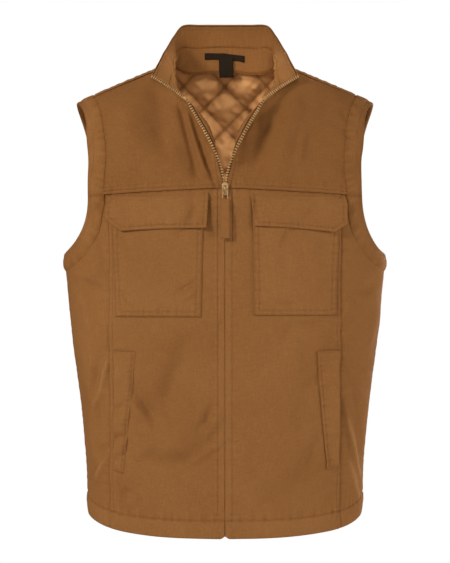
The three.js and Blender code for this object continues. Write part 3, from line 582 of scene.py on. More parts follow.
def new_mesh(name, points, faces, uv=None, painted_shading=None):
    """A mesh object from points in millimetres, with its faces outwards."""
    mesh = bpy.data.meshes.new(name)
    points = np.asarray(points, float).reshape(-1, 3) * MM
    faces = np.asarray(faces, np.int64)
    a, b, c = (points[faces[:, k]] for k in range(3))
    volume = np.einsum("ij,ij->", a, np.cross(b, c))
    if faces.shape[1] == 4:
        d = points[faces[:, 3]]
        volume += np.einsum("ij,ij->", a, np.cross(c, d))
    if volume < 0:
        faces = faces[:, ::-1]
    mesh.from_pydata(points.tolist(), [], faces.tolist())
    mesh.validate()
    mesh.shade_smooth()
    if uv is not None:
        add_uv(mesh, "cloth", uv)
    # Painted light and shade of the piece, kept on its points for the finish
    if painted_shading is not None:
        mark = mesh.attributes.new("painted_shading", "FLOAT", "POINT")
        mark.data.foreach_set("value", np.asarray(painted_shading, float).ravel())
    return in_scene(name, mesh)


def graded(*stretches):
    """Places along a line, stretch by stretch: each is (end, steps), from zero."""
    places = [np.zeros(1)]
    for end, steps in stretches:
        places.append(np.linspace(places[-1][-1], end, steps + 1)[1:])
    return np.concatenate(places)


def grid_faces(rows, cols, start, wrap=False):
    r, c = np.meshgrid(np.arange(rows - 1), np.arange(cols if wrap else cols - 1), indexing="ij")
    c2 = (c + 1) % cols
    quads = np.stack([r * cols + c, r * cols + c2, (r + 1) * cols + c2, (r + 1) * cols + c], -1)
    return quads.reshape(-1, 4) + start


# How far the two faces stay apart along the edges of a piece of cloth
EDGE_PINCH = 0.45


def slab(name, outer, inner, painted_shading=None):
    """A closed cloth piece between two grids, with its edges drawn together into a soft fold."""
    rows, cols = outer.shape[:2]
    middle = (outer + inner) / 2
    edge = np.zeros((rows, cols), bool)
    edge[[0, -1]] = True
    edge[:, [0, -1]] = True
    outer = np.where(edge[..., None], mix(middle, outer, EDGE_PINCH), outer)
    inner = np.where(edge[..., None], mix(middle, inner, EDGE_PINCH), inner)
    size = rows * cols
    at = np.arange(size).reshape(rows, cols)
    faces = [grid_faces(rows, cols, 0), grid_faces(rows, cols, size)[:, ::-1]]
    rim = np.concatenate([at[0, :-1], at[:-1, -1], at[-1, :0:-1], at[:0:-1, 0]])
    after = np.roll(rim, -1)
    faces.append(np.stack([after, rim, rim + size, after + size], -1))
    uv = arc_uv(outer)
    shade = None if painted_shading is None else np.stack([painted_shading, painted_shading])
    return new_mesh(name, np.stack([outer, inner]), np.concatenate(faces), np.stack([uv, uv]), shade)


def duck(name, outer, inner, painted_shading):
    """A piece of the shell cloth, and the name of the node that it replaces."""
    return slab(name + "_duck", np.asarray(outer), np.asarray(inner), np.asarray(painted_shading)), name


def tube(name, rings, closed=False, painted_shading=None):
    """A closed tube through rings of points, capped, or a loop that joins its last ring to its first."""
    count, sides = rings.shape[:2]
    faces = grid_faces(count, sides, 0, wrap=True)
    points = rings.reshape(-1, 3)
    here = np.arange(sides)
    after = (here + 1) % sides
    last = (count - 1) * sides
    if closed:
        faces = np.concatenate([faces, np.stack([last + here, last + after, after, here], -1)])
        looped = np.concatenate([rings, rings[:1]])
        return new_mesh(name, points, faces, arc_uv(looped)[:count], painted_shading)
    ends = count * sides
    points = np.concatenate([points, rings[:1].mean(1), rings[-1:].mean(1)])
    triangles = [faces[:, [0, 1, 2]], faces[:, [0, 2, 3]]]
    for centre, a, b in ((ends, after, here), (ends + 1, last + here, last + after)):
        triangles.append(np.stack([np.full_like(a, centre), a, b], -1))
    return new_mesh(name, points, np.concatenate(triangles))


def place(thing, body, slot, material, *nodes):
    """Gives a piece its finish and its body, and hides the nodes that it replaces; the slot is not used."""
    thing.data.materials.clear()
    thing.data.materials.append(material)
    if nodes:
        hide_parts(*nodes)
    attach(thing, body)
    return thing


# Finishes


def finish(name, roughness, specular, metal=0.0):
    made = bpy.data.materials.new(name)
    made.use_nodes = True
    tree = made.node_tree
    tree.nodes.clear()
    out = tree.nodes.new("ShaderNodeOutputMaterial")
    shader = tree.nodes.new("ShaderNodeBsdfPrincipled")
    shader.inputs["Roughness"].default_value = roughness
    shader.inputs["Specular IOR Level"].default_value = specular
    shader.inputs["Metallic"].default_value = metal
    tree.links.new(shader.outputs[0], out.inputs[0])
    return made, tree, shader


def math_node(tree, how, a, b=None):
    node = tree.nodes.new("ShaderNodeMath")
    node.operation = how
    for k, v in enumerate((a, b)):
        if v is None:
            continue
        if isinstance(v, (int, float)):
            node.inputs[k].default_value = v
        else:
            tree.links.new(v, node.inputs[k])
    return node.outputs[0]


def centred(tree, value):
    return math_node(tree, "SUBTRACT", value, 0.5)


def plus(tree, value, part, share):
    return math_node(tree, "ADD", value, math_node(tree, "MULTIPLY", part, share))


def bumped(tree, shader, height, strength, distance):
    bump = tree.nodes.new("ShaderNodeBump")
    bump.inputs["Strength"].default_value = strength
    bump.inputs["Distance"].default_value = distance
    tree.links.new(height, bump.inputs["Height"])
    tree.links.new(bump.outputs[0], shader.inputs["Normal"])


def noise(tree, vector, scale, detail=2.0):
    node = tree.nodes.new("ShaderNodeTexNoise")
    node.inputs["Scale"].default_value = scale
    node.inputs["Detail"].default_value = detail
    tree.links.new(vector, node.inputs["Vector"])
    return node.outputs[0]


def stretched(tree, vector, x, y):
    node = tree.nodes.new("ShaderNodeMapping")
    node.inputs["Scale"].default_value = (x, y, 1)
    tree.links.new(vector, node.inputs["Vector"])
    return node.outputs[0]


def yarn(tree, vector, pitch, direction):
    node = tree.nodes.new("ShaderNodeTexWave")
    node.bands_direction = direction
    node.inputs["Scale"].default_value = 0.314 / pitch
    node.inputs["Distortion"].default_value = 0.6
    node.inputs["Detail Scale"].default_value = 2.0
    tree.links.new(vector, node.inputs["Vector"])
    return node.outputs[1]


def ramp(tree, value, stops):
    node = tree.nodes.new("ShaderNodeValToRGB")
    node.color_ramp.elements[0].position = stops[0][0]
    node.color_ramp.elements[0].color = (*stops[0][1], 1)
    node.color_ramp.elements[1].position = stops[-1][0]
    node.color_ramp.elements[1].color = (*stops[-1][1], 1)
    for place_at, colour in stops[1:-1]:
        node.color_ramp.elements.new(place_at).color = (*colour, 1)
    tree.links.new(value, node.inputs[0])
    return node.outputs[0]


def quilt_lines(tree):
    """One on the sewn lines of the quilting, falling to nothing beside them: where their shade is painted.
    """
    sewn = tree.nodes.new("ShaderNodeUVMap")
    sewn.uv_map = "quilt"
    parts = tree.nodes.new("ShaderNodeSeparateXYZ")
    tree.links.new(sewn.outputs[0], parts.inputs[0])
    u = math_node(tree, "PINGPONG", parts.outputs[0], 0.5)
    v = math_node(tree, "PINGPONG", parts.outputs[1], 0.5)
    near = math_node(tree, "MULTIPLY", math_node(tree, "MINIMUM", u, v), QUILT_ACROSS / SEWN_LINE)
    near = math_node(tree, "SUBTRACT", 1.0, near)
    return math_node(tree, "MAXIMUM", near, 0.0)


def woven(name, dark, mid, light, pitch, roughness, specular, slub, relief, sheen=0.0, quilted=False):
    """A woven cloth on its own cloth coordinates: crossing yarns, slubs, uneven dye, and painted shade in
    dents with painted highlight on crests.
    """
    made, tree, shader = finish(name, roughness, specular)
    cloth = tree.nodes.new("ShaderNodeUVMap")
    cloth.uv_map = "cloth"
    uv = cloth.outputs[0]
    body = tree.nodes.new("ShaderNodeTexCoord").outputs["Object"]
    warp = centred(tree, yarn(tree, uv, pitch, "X"))
    weft = centred(tree, yarn(tree, uv, pitch, "Y"))
    weave = math_node(tree, "MULTIPLY", warp, weft)
    long_slub = centred(tree, noise(tree, stretched(tree, uv, 1400, 45), 1))
    cross_slub = centred(tree, noise(tree, stretched(tree, uv, 60, 1200), 1))
    slubs = math_node(tree, "ADD", long_slub, cross_slub)
    clouds = centred(tree, noise(tree, body, 9, 3))
    specks = centred(tree, noise(tree, body, 420, 1))
    # The piece's painted light and shade, read from its point attribute
    painted_shading = tree.nodes.new("ShaderNodeAttribute")
    painted_shading.attribute_name = "painted_shading"
    value = math_node(tree, "MULTIPLY", slubs, slub)
    for part, share in ((clouds, 0.3), (specks, slub), (weave, 0.5), (painted_shading.outputs["Fac"], 0.5)):
        value = plus(tree, value, part, share)
    value = math_node(tree, "ADD", value, 0.5)
    if quilted:
        # Painted shade along the quilting's sewn lines
        value = plus(tree, value, quilt_lines(tree), -SEWN_SHADE)
        shader.inputs["Specular Tint"].default_value = (1, 0.74, 0.46, 1)
    colour = ramp(tree, value, [(0.0, dark), (0.5, mid), (1.0, light)])
    tree.links.new(colour, shader.inputs["Base Color"])
    bumped(tree, shader, plus(tree, weave, slubs, 0.7), relief, 0.0004)
    shader.inputs["Sheen Weight"].default_value = sheen
    shader.inputs["Sheen Roughness"].default_value = 0.45
    shader.inputs["Sheen Tint"].default_value = (*light, 1)
    return made


def grained(name, dark, light, roughness, metal=0.0, grain=300):
    """A finish with a fine grain in it, for metal, cord and thread."""
    made, tree, shader = finish(name, roughness, 0.5, metal)
    body = tree.nodes.new("ShaderNodeTexCoord").outputs["Object"]
    value = noise(tree, body, grain, 3)
    tree.links.new(ramp(tree, value, [(0.3, dark), (0.7, light)]), shader.inputs["Base Color"])
    bumped(tree, shader, value, 0.15, 0.0002)
    return made


DUCK = woven(
    "washed_duck", (0.15, 0.057, 0.014), (0.243, 0.104, 0.032), (0.34, 0.162, 0.06),
    pitch=0.0011, roughness=0.92, specular=0.06, slub=0.32, relief=0.4,
)
TAFFETA = woven(
    "quilted_taffeta", (0.22, 0.088, 0.024), (0.57, 0.282, 0.104), (0.7, 0.38, 0.155),
    pitch=0.0005, roughness=0.5, specular=0.35, slub=0.12, relief=0.12, quilted=True,
)
TAPE = woven(
    "zip_tape_weave", (0.12, 0.045, 0.012), (0.2, 0.083, 0.026), (0.3, 0.14, 0.055),
    pitch=0.0009, roughness=0.85, specular=0.2, slub=0.2, relief=0.5, sheen=0.1,
)
LABEL = woven(
    "label_satin", (0.006, 0.0038, 0.002), (0.016, 0.0098, 0.0055), (0.03, 0.0195, 0.0115),
    pitch=0.0006, roughness=0.75, specular=0.05, slub=0.2, relief=0.3,
)
CORD = grained("zip_cord", (0.05, 0.019, 0.006), (0.09, 0.036, 0.011), 0.85)
THREAD = grained("sewing_thread", (0.215, 0.085, 0.024), (0.285, 0.118, 0.036), 0.85)
TEETH = grained("zip_teeth_brass", (0.36, 0.19, 0.065), (0.55, 0.33, 0.13), 0.42, metal=0.35, grain=180)
SLIDER_BRASS = grained("slider_brass", (0.3, 0.17, 0.07), (0.45, 0.28, 0.13), 0.45, metal=0.7, grain=90)


# The front edges


def table_at(table, share, col):
    return column(np.arange(len(table)), table[:, col], np.asarray(share) * (len(table) - 1))


NECK_END = (NECK_HALF + 1, float(shoulder_seam_z(NECK_HALF + 1)))


def throat(t):
    """Where a row of the yoke starts: the open front edge, then the neck seam; and its share of roll."""
    if t <= EDGE_SHARE:
        s = t / EDGE_SHARE
        return [float(table_at(FRONT_EDGE, s, k)) for k in range(3)]
    s = (t - EDGE_SHARE) / (1 - EDGE_SHARE)
    x, z, roll = FRONT_EDGE[-1]
    bow = NECK_BOW * math.sin(math.pi * min(1, s))
    return [mix(x, NECK_END[0], s) + bow, mix(z, NECK_END[1], s) - bow, roll * max(0, 1 - s) ** 2]


class YokeRow:
    """A row of cloth from the front edge out to the armhole, with its first stretch rolled outward."""

    def __init__(self, t, sign):
        x, z, roll = throat(t)
        bound_x, _, bound_z, _ = armhole("seam", mix(YOKE_TURN, SHOULDER_TURN, t))
        self.start = np.array([sign * x, z])
        reach = np.array([sign * (float(bound_x) - ARM_CLEAR), float(bound_z)]) - self.start
        self.reach = float(np.hypot(*reach))
        self.way = reach / self.reach
        self.bend = max(1e-4, ROLL_ANGLE * roll / ROLL_LENGTH)
        self.flat = math.sin(self.bend * ROLL_LENGTH) / self.bend
        self.length = self.reach - self.flat + ROLL_LENGTH

    def at(self, e):
        """Points and normals at distances e in from the edge, and the front view places below them."""
        e = np.asarray(e, float)
        turned = self.bend * np.maximum(0, ROLL_LENGTH - e)
        u = self.flat + np.where(e < ROLL_LENGTH, -np.sin(turned) / self.bend, e - ROLL_LENGTH)
        out = (1 - np.cos(turned)) / self.bend
        x, z = self.start[0] + self.way[0] * u, self.start[1] + self.way[1] * u
        p, n = surface(x, z, FRONT)
        ahead, _ = surface(x - self.way[0], z - self.way[1], FRONT)
        inward = unit(ahead - p)
        lifted = p + n * (front_base(x, z) + out)[..., None]
        turn = turned[..., None]
        return lifted, unit(n * np.cos(turn) - inward * np.sin(turn)), x, z


# The front yokes are painted a little darker all over: painted shade for their upward-facing cloth
YOKE_PAINTED_SHADE = -0.25


def painted_shade_of(detail):
    """Painted shade in the dents of a relief, and a little painted highlight on its crests."""
    return np.clip(0.3 * detail, -0.7, 0.12)


def front_yoke(sign):
    """Upper front, from the yoke seam to the shoulder seam, rolled outward along its open edge."""
    outer, inner, painted_shading = [], [], []
    for t in graded((0.09, 20), (0.94, 66), (1.045, 16)):
        row = YokeRow(t, sign)
        e = graded((26, 30), (row.length - 14, 46), (row.length + 6, 15))
        p, n, x, z = row.at(e)
        seam = seam_relief(z - yoke_z(x), x, 0.8, YOKE_ROW) * smooth(6, 16, e + 200 * max(0, t - 0.1))
        edge = seam_relief(e, 330 * t + 40, 0.35, EDGE_ROW)
        arm = -0.5 * ridge(row.length - e, 2.5) - 2.2 * smooth(-1, -3.5, row.length - e)
        arm = arm + 0.3 * pucker(300 * t, row.length - e, 14, 12)
        lap = -2.4 * float(smooth(0.985, 1.003, t))
        detail = seam + edge + arm
        outer.append(p + n * (detail + lap)[:, None])
        inner.append(p + n * (detail + lap - SHELL)[:, None])
        # A painted line of shade along the shoulder seam at the yoke's far end
        sewn = 0.9 * float(ridge((1 - t) * 190, 2.6))
        painted_shading.append(painted_shade_of(detail - arm * 0.3) + YOKE_PAINTED_SHADE - sewn)
    return duck("front_yoke_" + SIDE_WORD[sign], outer, inner, painted_shading)


def front_panel(sign):
    """Lower front, from the hem to the yoke seam, between the zip and the side panel."""
    x = FRONT_MEET + graded((16, 14), (158, 50), (SIDE_SEAM_X - FRONT_MEET, 13))
    x, t = np.meshgrid(x, graded((0.075, 28), (0.955, 136), (1, 14)))
    notch = 4 * ridge(x, 4)
    z = mix(hem_z(x) + notch, yoke_z(x) + 9, t)
    p, n = surface(sign * x, z, FRONT)
    h = z - hem_z(x)
    base = front_base(sign * x, z) * hem_hold(h)
    zip_edge = seam_relief(x - FRONT_MEET, z, 0.7, ZIP_ROW)
    side = seam_relief(SIDE_SEAM_X - x, z, 0.45, SIDE_ROW) * SEAM_SHARE[sign]
    below = yoke_z(x) - z
    tuck = sewn_line(below, x, (0.9, 4), (0.3, 12, 13))
    sunk = -2.6 * smooth(1.5, -1.5, below)
    detail = zip_edge + side + hem_relief(h, sign * x) + tuck
    outer = p + n * (base + detail + sunk)[..., None]
    inner = outer - n * wall(h)[..., None]
    return duck("front_panel_" + SIDE_WORD[sign], outer, inner, painted_shade_of(detail))


def coons(bottom, top, inner, outer, s, t, power=1):
    """A patch between four edges, each a function of 0 to 1 that gives two arrays."""
    made = []
    for k in range(2):
        low = bottom(s)[k] - mix(bottom(0 * s)[k], bottom(0 * s + 1)[k], s)
        high = top(s)[k] - mix(top(0 * s)[k], top(0 * s + 1)[k], s)
        made.append(mix(inner(t)[k], outer(t)[k], s) + mix(low, high, t**power))
    return made


SIDE_FOOT_Z = float(hem_z(half_at(-BODY_LENGTH)))


def side_panel(sign):
    """From the upright seam beside the pocket to the side seam, and up to the armhole."""
    def inner(t):
        x = SIDE_SEAM_X - 7 + 0 * t
        z = mix(hem_z(x), yoke_z(x) + 8, t)
        return angle_at(x, z), z

    def outer(t):
        low = np.minimum(1, t / ARMPIT_SIDE)
        turn = mix(0.5, YOKE_TURN, np.clip((t - ARMPIT_SIDE) / (1 - ARMPIT_SIDE), 0, 1))
        x, _, z, _ = armhole("seam", turn)
        below = t < ARMPIT_SIDE
        angle = np.where(below, math.pi / 2 + 0.03, angle_at(x, z) + 0.025)
        return angle, np.where(below, mix(SIDE_FOOT_Z, ARMPIT_Z, low), z + 5)

    def hem(s):
        angle = mix(inner(0 * s)[0], outer(0 * s)[0], s)
        return angle, hem_z(hem_x(angle))

    def top(s):
        one = 0 * s + 1
        return [mix(inner(one)[k], outer(one)[k], s) for k in range(2)]

    s, t = np.meshgrid(np.linspace(0, 1, 46), graded((0.075, 26), (1, 140)))
    angle, z = coons(hem, top, inner, outer, s, t)
    p, n = ring(angle, z)
    x, y = p[..., 0], p[..., 1]
    h = z - hem_z(x)
    girth = CAP_HALF * angle
    base = front_base(sign * x, z) * hem_hold(h)
    off = x - SIDE_SEAM_X
    front_seam = sewn_line(off, z, (1.1 * SEAM_SHARE[sign], 3.2), (0.25, 12, 12))
    side_seam = sewn_line(y, z, (1.2, 3), (0.35, 14, 14))
    to_band = (outer(t)[0] - 0.025 - angle) * 130
    band_seam = np.where(t >= ARMPIT_SIDE, -1.1 * ridge(to_band, 3), 0)
    below = yoke_z(x) - z
    detail = front_seam + side_seam + band_seam - 0.9 * ridge(below, 4)
    detail = detail + hem_relief(h, sign * girth * 0.62)
    sunk = -2.4 * smooth(1, -1.5, off) - 2.6 * smooth(-1, 1.5, y) - 2.6 * smooth(1.5, -1.5, below)
    sunk = sunk - np.where(t >= ARMPIT_SIDE, 2.2 * smooth(-1, -3, to_band), 0)
    outer_face = p + n * (base + detail + np.maximum(sunk, -3.2))[..., None]
    inner_face = outer_face - n * wall(h)[..., None]
    flip = mirror(sign)
    # Painted shade from the relief, and painted highlights along the side crests
    painted_shading = painted_shade_of(detail) + folds(PAINTED_CREST_HIGHLIGHTS, sign * x, z)
    return duck("side_panel_" + SIDE_WORD[sign], outer_face * flip, inner_face * flip, painted_shading)


NECK_RUN = float(run_at(0.0, float(NECK_LEVEL), BACK))
OVER_RUN = CAP_ARC + SEAM_OVER_SHOULDER - 5


def back_edges(lap, reach=-0.003):
    """The four edges of half the back in angle and run: hem, top, centre line, side and armhole."""

    def hem(s):
        angle = mix(0, math.pi / 2 + reach, s)
        return angle, hem_z(hem_x(angle)) - CAP_Z

    def top(s):
        tip = armhole("seam", SHOULDER_TURN)[0]
        turn = (math.pi / 2) * np.minimum(1, s / NECK_SHARE)
        neck = (NECK_HALF + 1) * np.sin(turn)
        beyond = mix(NECK_HALF + 1, tip - ARM_CLEAR, (s - NECK_SHARE) / (1 - NECK_SHARE))
        angle = angle_at(np.where(s <= NECK_SHARE, neck, beyond), 0.0 * s)
        run = mix(NECK_RUN, OVER_RUN, (1 - np.cos(turn)) ** 1.5)
        return angle + lap * smooth(0.9, 1, s), np.where(s <= NECK_SHARE, run, OVER_RUN)

    def centre(t):
        return 0 * t, mix(hem(np.zeros(1))[1][0], NECK_RUN, t)

    def side(t):
        low = mix(SIDE_FOOT_Z, ARMPIT_Z, np.minimum(1, t / ARMPIT_BACK)) - CAP_Z
        turn = mix(0.5, 1 + SHOULDER_TURN, np.clip((t - ARMPIT_BACK) / (1 - ARMPIT_BACK), 0, 1))
        x, _, z, front = armhole("seam", turn % 1)
        below = t < ARMPIT_BACK
        angle = np.where(below, math.pi / 2 + reach, angle_at(x, z) - 0.003 + lap)
        under = 6 * smooth(0, 0.02, lap) * smooth(0.74, 0.62, turn)
        return angle, np.where(below, low, run_at(x, z, front) + under)

    return hem, top, centre, side


def mirrored_rows(half):
    """A grid of the whole width from its wearer's left half."""
    other = half[:, :0:-1] * mirror(-1)
    return np.concatenate([other, half], 1)


def back_surface(rows, cols, lap, reach=-0.003, power=4):
    s, t = np.meshgrid(cols, rows)
    angle, run = coons(*back_edges(lap, reach), s, t, power)
    p, n = wrapped(angle, run)
    return s, t, angle, mirrored_rows(p), mirrored_rows(n)


def both(a):
    """Values of the whole width from those of its half."""
    return np.concatenate([a[:, :0:-1], a], 1)


def back_panel():
    """The whole back, over the shoulders to a seam in front of the ridge."""
    rows = graded((0.05, 26), (0.97, 132), (1, 12))
    _, t, angle, p, n = back_surface(rows, np.linspace(0, 1, 64), 0.02)
    x, y, z = p[..., 0], p[..., 1], p[..., 2]
    h = z - hem_z(x)
    base = back_base(x, z) * hem_hold(h)
    to_top = both((1 - t) * 740)
    top_edge = seam_relief(to_top, x, 1.0, 6)
    side = np.where(z < ARMPIT_Z + 6, seam_relief(y, z, 0.5, 5.5), 0)
    to_band = both((back_edges(0)[3](t)[0] - angle) * 130)
    high = both(t) >= ARMPIT_BACK
    band = np.where(high, sewn_line(to_band, both(t) * 800, (0.7, 3), (0.3, 14, 13)), 0)
    sunk = np.where(high, -2.4 * smooth(-0.5, -2.5, to_band), 0)
    girth = np.sign(x) * both(angle) * 160
    detail = top_edge + side + band + hem_relief(h, girth)
    outer = p + n * (base + detail + sunk)[..., None]
    inner = outer - n * wall(h)[..., None]
    return duck("back_panel", outer, inner, painted_shade_of(detail))


# The padded band round each armhole: places across it, from seam to edge, and heights there
BAND = np.array([
    (0.02, -0.5),
    (0.1, 0.45),
    (0.36, 1.2),
    (0.72, 1.3),
    (0.95, 0.5),
    (1.04, -1.6),
    (0.98, -4.2),
    (0.7, -5.4),
    (0.3, -5.0),
    (0.08, -3.2),
])
BAND_LENGTH = 640
# The band's free edge is evened out over so many rings to either side
BAND_EVEN = 7


def closed_curve(points, count):
    """A smooth closed curve through a few points."""
    k = np.arange(count) * len(points) / count
    i = k.astype(int)
    f = (k - i)[:, None]
    a, b, c, d = (points[(i + j) % len(points)] for j in (-1, 0, 1, 2))
    return 0.5 * (2 * b + (c - a) * f + (2 * a - 5 * b + 4 * c - d) * f**2 + (3 * b - a - 3 * c + d) * f**3)


def armhole_band(sign):
    """The padded binding of one armhole, a closed tube."""
    section = closed_curve(BAND, 34)
    turn = np.arange(250) / 250
    seam, edge = armhole("seam", turn), armhole("edge", turn)
    w, lift = section[:, 0][None], section[:, 1][None]
    wide = 1 + 0.34 * ridge(turn - 0.15, 0.09)
    w = w * wide[:, None]
    y = mix(seam[1][:, None], edge[1][:, None], w)
    z = mix(seam[2][:, None], edge[2][:, None], w)
    front = np.repeat(seam[3][:, None], len(section), 1)
    p = np.stack([body_x(y, z, front), y, z], -1)
    flatter = 1 - 0.8 * np.maximum(0, np.cos(2 * math.pi * turn)) ** 2
    along = turn[:, None] * BAND_LENGTH
    ripple = 0.75 * pucker(along, w - 0.1, 0.35, 15) + 0.5 * drift(along, w * 40, 46)
    height = np.where(lift > 0, lift * flatter[:, None] + ripple * smooth(0, 1.5, lift), lift)
    x = sign * p[..., 0]
    height = height + np.where(front, front_base(x, z), back_base(x, z))
    full = 1.6 * ridge(turn[:, None] - 0.5, 0.06) * np.clip(lift / 1.3, 0, 1)
    crossing = np.where(front & (lift > 0), ridge(z - yoke_z(x), 2.4), 0)
    height = height + full - 0.8 * crossing
    stitched = -0.5 * ridge(w - BAND_ROW, 0.05) * (lift > 0)
    rings = (p + body_normal(p, front) * (height + stitched)[..., None]) * mirror(sign)
    steps = range(-BAND_EVEN, BAND_EVEN + 1)
    even = sum(np.roll(rings, step, 0) for step in steps) / len(steps)
    rings = mix(rings, even, smooth(0.55, 0.85, w)[..., None])
    name = "armhole_band_" + SIDE_WORD[sign]
    # Painted shade towards the band's edges, in its ripples and where the yoke seam crosses it
    painted_shading = np.clip(0.3 * (lift - 1.2) + 0.2 * ripple - 0.5 * crossing, -0.7, 0.4) * (lift > -1)
    return tube(name + "_duck", rings, True, np.broadcast_to(painted_shading, rings.shape[:2])), name


# The collar between the neck seam and its top edge


def even_curve(points, share):
    """Points at shares of the length along a smooth curve."""
    run = np.concatenate([[0], np.cumsum(np.linalg.norm(np.diff(points, axis=0), axis=1))])
    fine = np.linspace(0, run[-1], 600)
    curve = np.stack([column(run, points[:, k], fine) for k in range(3)], -1)
    length = np.concatenate([[0], np.cumsum(np.linalg.norm(np.diff(curve, axis=0), axis=1))])
    at = np.asarray(share) * length[-1]
    return np.stack([np.interp(at, length, curve[:, k]) for k in range(3)], -1)


def neck_seam():
    """Points where the collar joins the neck, from the middle of the back to the front edge."""
    s = np.linspace(0, NECK_SHARE, 7)
    angle, run = coons(*back_edges(0), s, np.ones(7), 4)
    p, n = wrapped(angle, run)
    points = [p - n * SEAM_DEPTH]
    for t in np.linspace(1, EDGE_SHARE, 6)[1:]:
        edge, out, _, _ = YokeRow(t, 1).at([0.0])
        points.append(edge - out * SEAM_DEPTH)
    return np.concatenate(points)


NECK_SEAM = neck_seam()
COLLAR_END = 0.985


def collar_chord(f, h):
    low, high = even_curve(NECK_SEAM, np.abs(f)), even_curve(COLLAR_TOP, np.abs(f))
    p = low + (high - low) * np.asarray(h)[..., None]
    return p * np.stack([np.where(f < 0, -1, 1), np.ones_like(f), np.ones_like(f)], -1)


def grid_normals(p):
    up = np.gradient(p, axis=0)
    along = np.gradient(p, axis=1)
    return unit(np.cross(up, along)), unit(up)


def collar_grid(f, h):
    """Points, outward normals and upward directions of the collar's middle layer."""
    f, h = np.meshgrid(f, h)
    level = np.stack([collar_chord(f[0], 0 * f[0] + v) for v in (0.45, 0.5, 0.55)])
    out = grid_normals(level)[0][1]
    held = np.clip(h, 0, 1)
    bow = COLLAR_BOW * np.sin(math.pi * held) ** 0.8 * np.clip((np.abs(f) - 0.2) * 2, 0, 1)
    bow = bow * mix(1, 0.15, smooth(0.72, 0.985, np.abs(f)))
    inward = 15 * np.sin(math.pi * held) ** 0.8 * ridge(np.abs(f) - 0.72, 0.2)
    push = np.stack([-np.sign(f) * inward, -0.3 * inward, -0.35 * inward], -1)
    p = collar_chord(f, h) - out[None] * (0.6 * bow)[..., None] + push
    n, up = grid_normals(p)
    return p, n, up, f, h


COLLAR_ACROSS = np.linspace(-COLLAR_END, COLLAR_END, 181)
# Half the gap between the collar's layers, their thickness, and the painted shade and light of the facings:
# darker at the back, lighter towards the front
COLLAR_HALF = 1.1
COLLAR_OUTER = 1.6
COLLAR_FACING = 1.4
FACING_PAINTED_LIGHT_AND_SHADE = (-0.45, 0.15)
# Steps of the turn over its top edge
COLLAR_STEPS = 9


def collar_length(f):
    return f * COLLAR_LENGTH


def collar_outer():
    """The outside of the stand collar, turned in over its top edge."""
    p, n, up, f, h = collar_grid(COLLAR_ACROSS, np.linspace(-0.04, 1, 46))
    along = collar_length(f)
    wavy = 0.7 * drift(along, h * 70 + 300, 60) * smooth(0, 0.3, h)
    to_top = (1 - h) * COLLAR_HEIGHT
    detail = seam_relief(to_top + 3, along, 0.3, 8) - 0.8 * ridge(h - 0.02, 0.05)
    detail = detail + 0.35 * pucker(along, h * 60, 12, 12)
    outer = [p + n * (COLLAR_HALF + COLLAR_OUTER + wavy + detail)[..., None]]
    inner = [p + n * (COLLAR_HALF + wavy * 0.5)[..., None]]
    for turn in np.linspace(0, math.pi, COLLAR_STEPS + 1)[1:]:
        way = n[-1] * math.cos(turn) + up[-1] * math.sin(turn)
        outer.append((p[-1] + way * (COLLAR_HALF + COLLAR_OUTER))[None])
        inner.append((p[-1] + way * COLLAR_HALF)[None])
    painted_shading = np.concatenate([painted_shade_of(detail), np.full((COLLAR_STEPS, p.shape[1]), 0.2)])
    return duck("collar_outer", np.concatenate(outer), np.concatenate(inner), painted_shading)


def collar_lining(name, low, high, rows):
    """A band of the collar's inside, between two shares of its height."""
    p, n, _, f, h = collar_grid(COLLAR_ACROSS, np.linspace(low, high, rows))
    along, level = collar_length(f), h * 70
    wavy = 0.6 * drift(along + 90, level, 48) + 0.25 * drift(along, level, 17)
    wavy = wavy + 1.1 * drift(along + 40, level, 13) * ridge(np.abs(f) - 0.62, 0.16)
    to_top = np.minimum((1 - h) * COLLAR_HEIGHT, 60)
    detail = sewn_line((h - 0.5) * COLLAR_HEIGHT, along, (0.8, 2), (0.3, 9, 10))
    detail = detail + sewn_line(to_top - 5.5, along + 7, (0.55, 1.4), (0.3, 9, 11))
    sunk = 1.4 * smooth(-0.02, -0.085, h)
    seen = p - n * (COLLAR_HALF + COLLAR_FACING + (wavy + detail) * smooth(0, 0.1, h) - sunk)[..., None]
    hidden = p - n * COLLAR_HALF
    # Painted shade on the back of the facings, painted light on their front wings, and a painted dark rim
    # along the neck facing's foot
    shade = mix(*FACING_PAINTED_LIGHT_AND_SHADE, smooth(0.35, 0.65, np.abs(f))) - 0.8 * smooth(0, -0.07, h)
    return duck(name, hidden, seen, painted_shade_of(detail) + shade)


# The cloth beside a front edge, from the foot of the zip up to the slider, the neck and the collar


def parting(t):
    return smooth(0, 0.22, t)


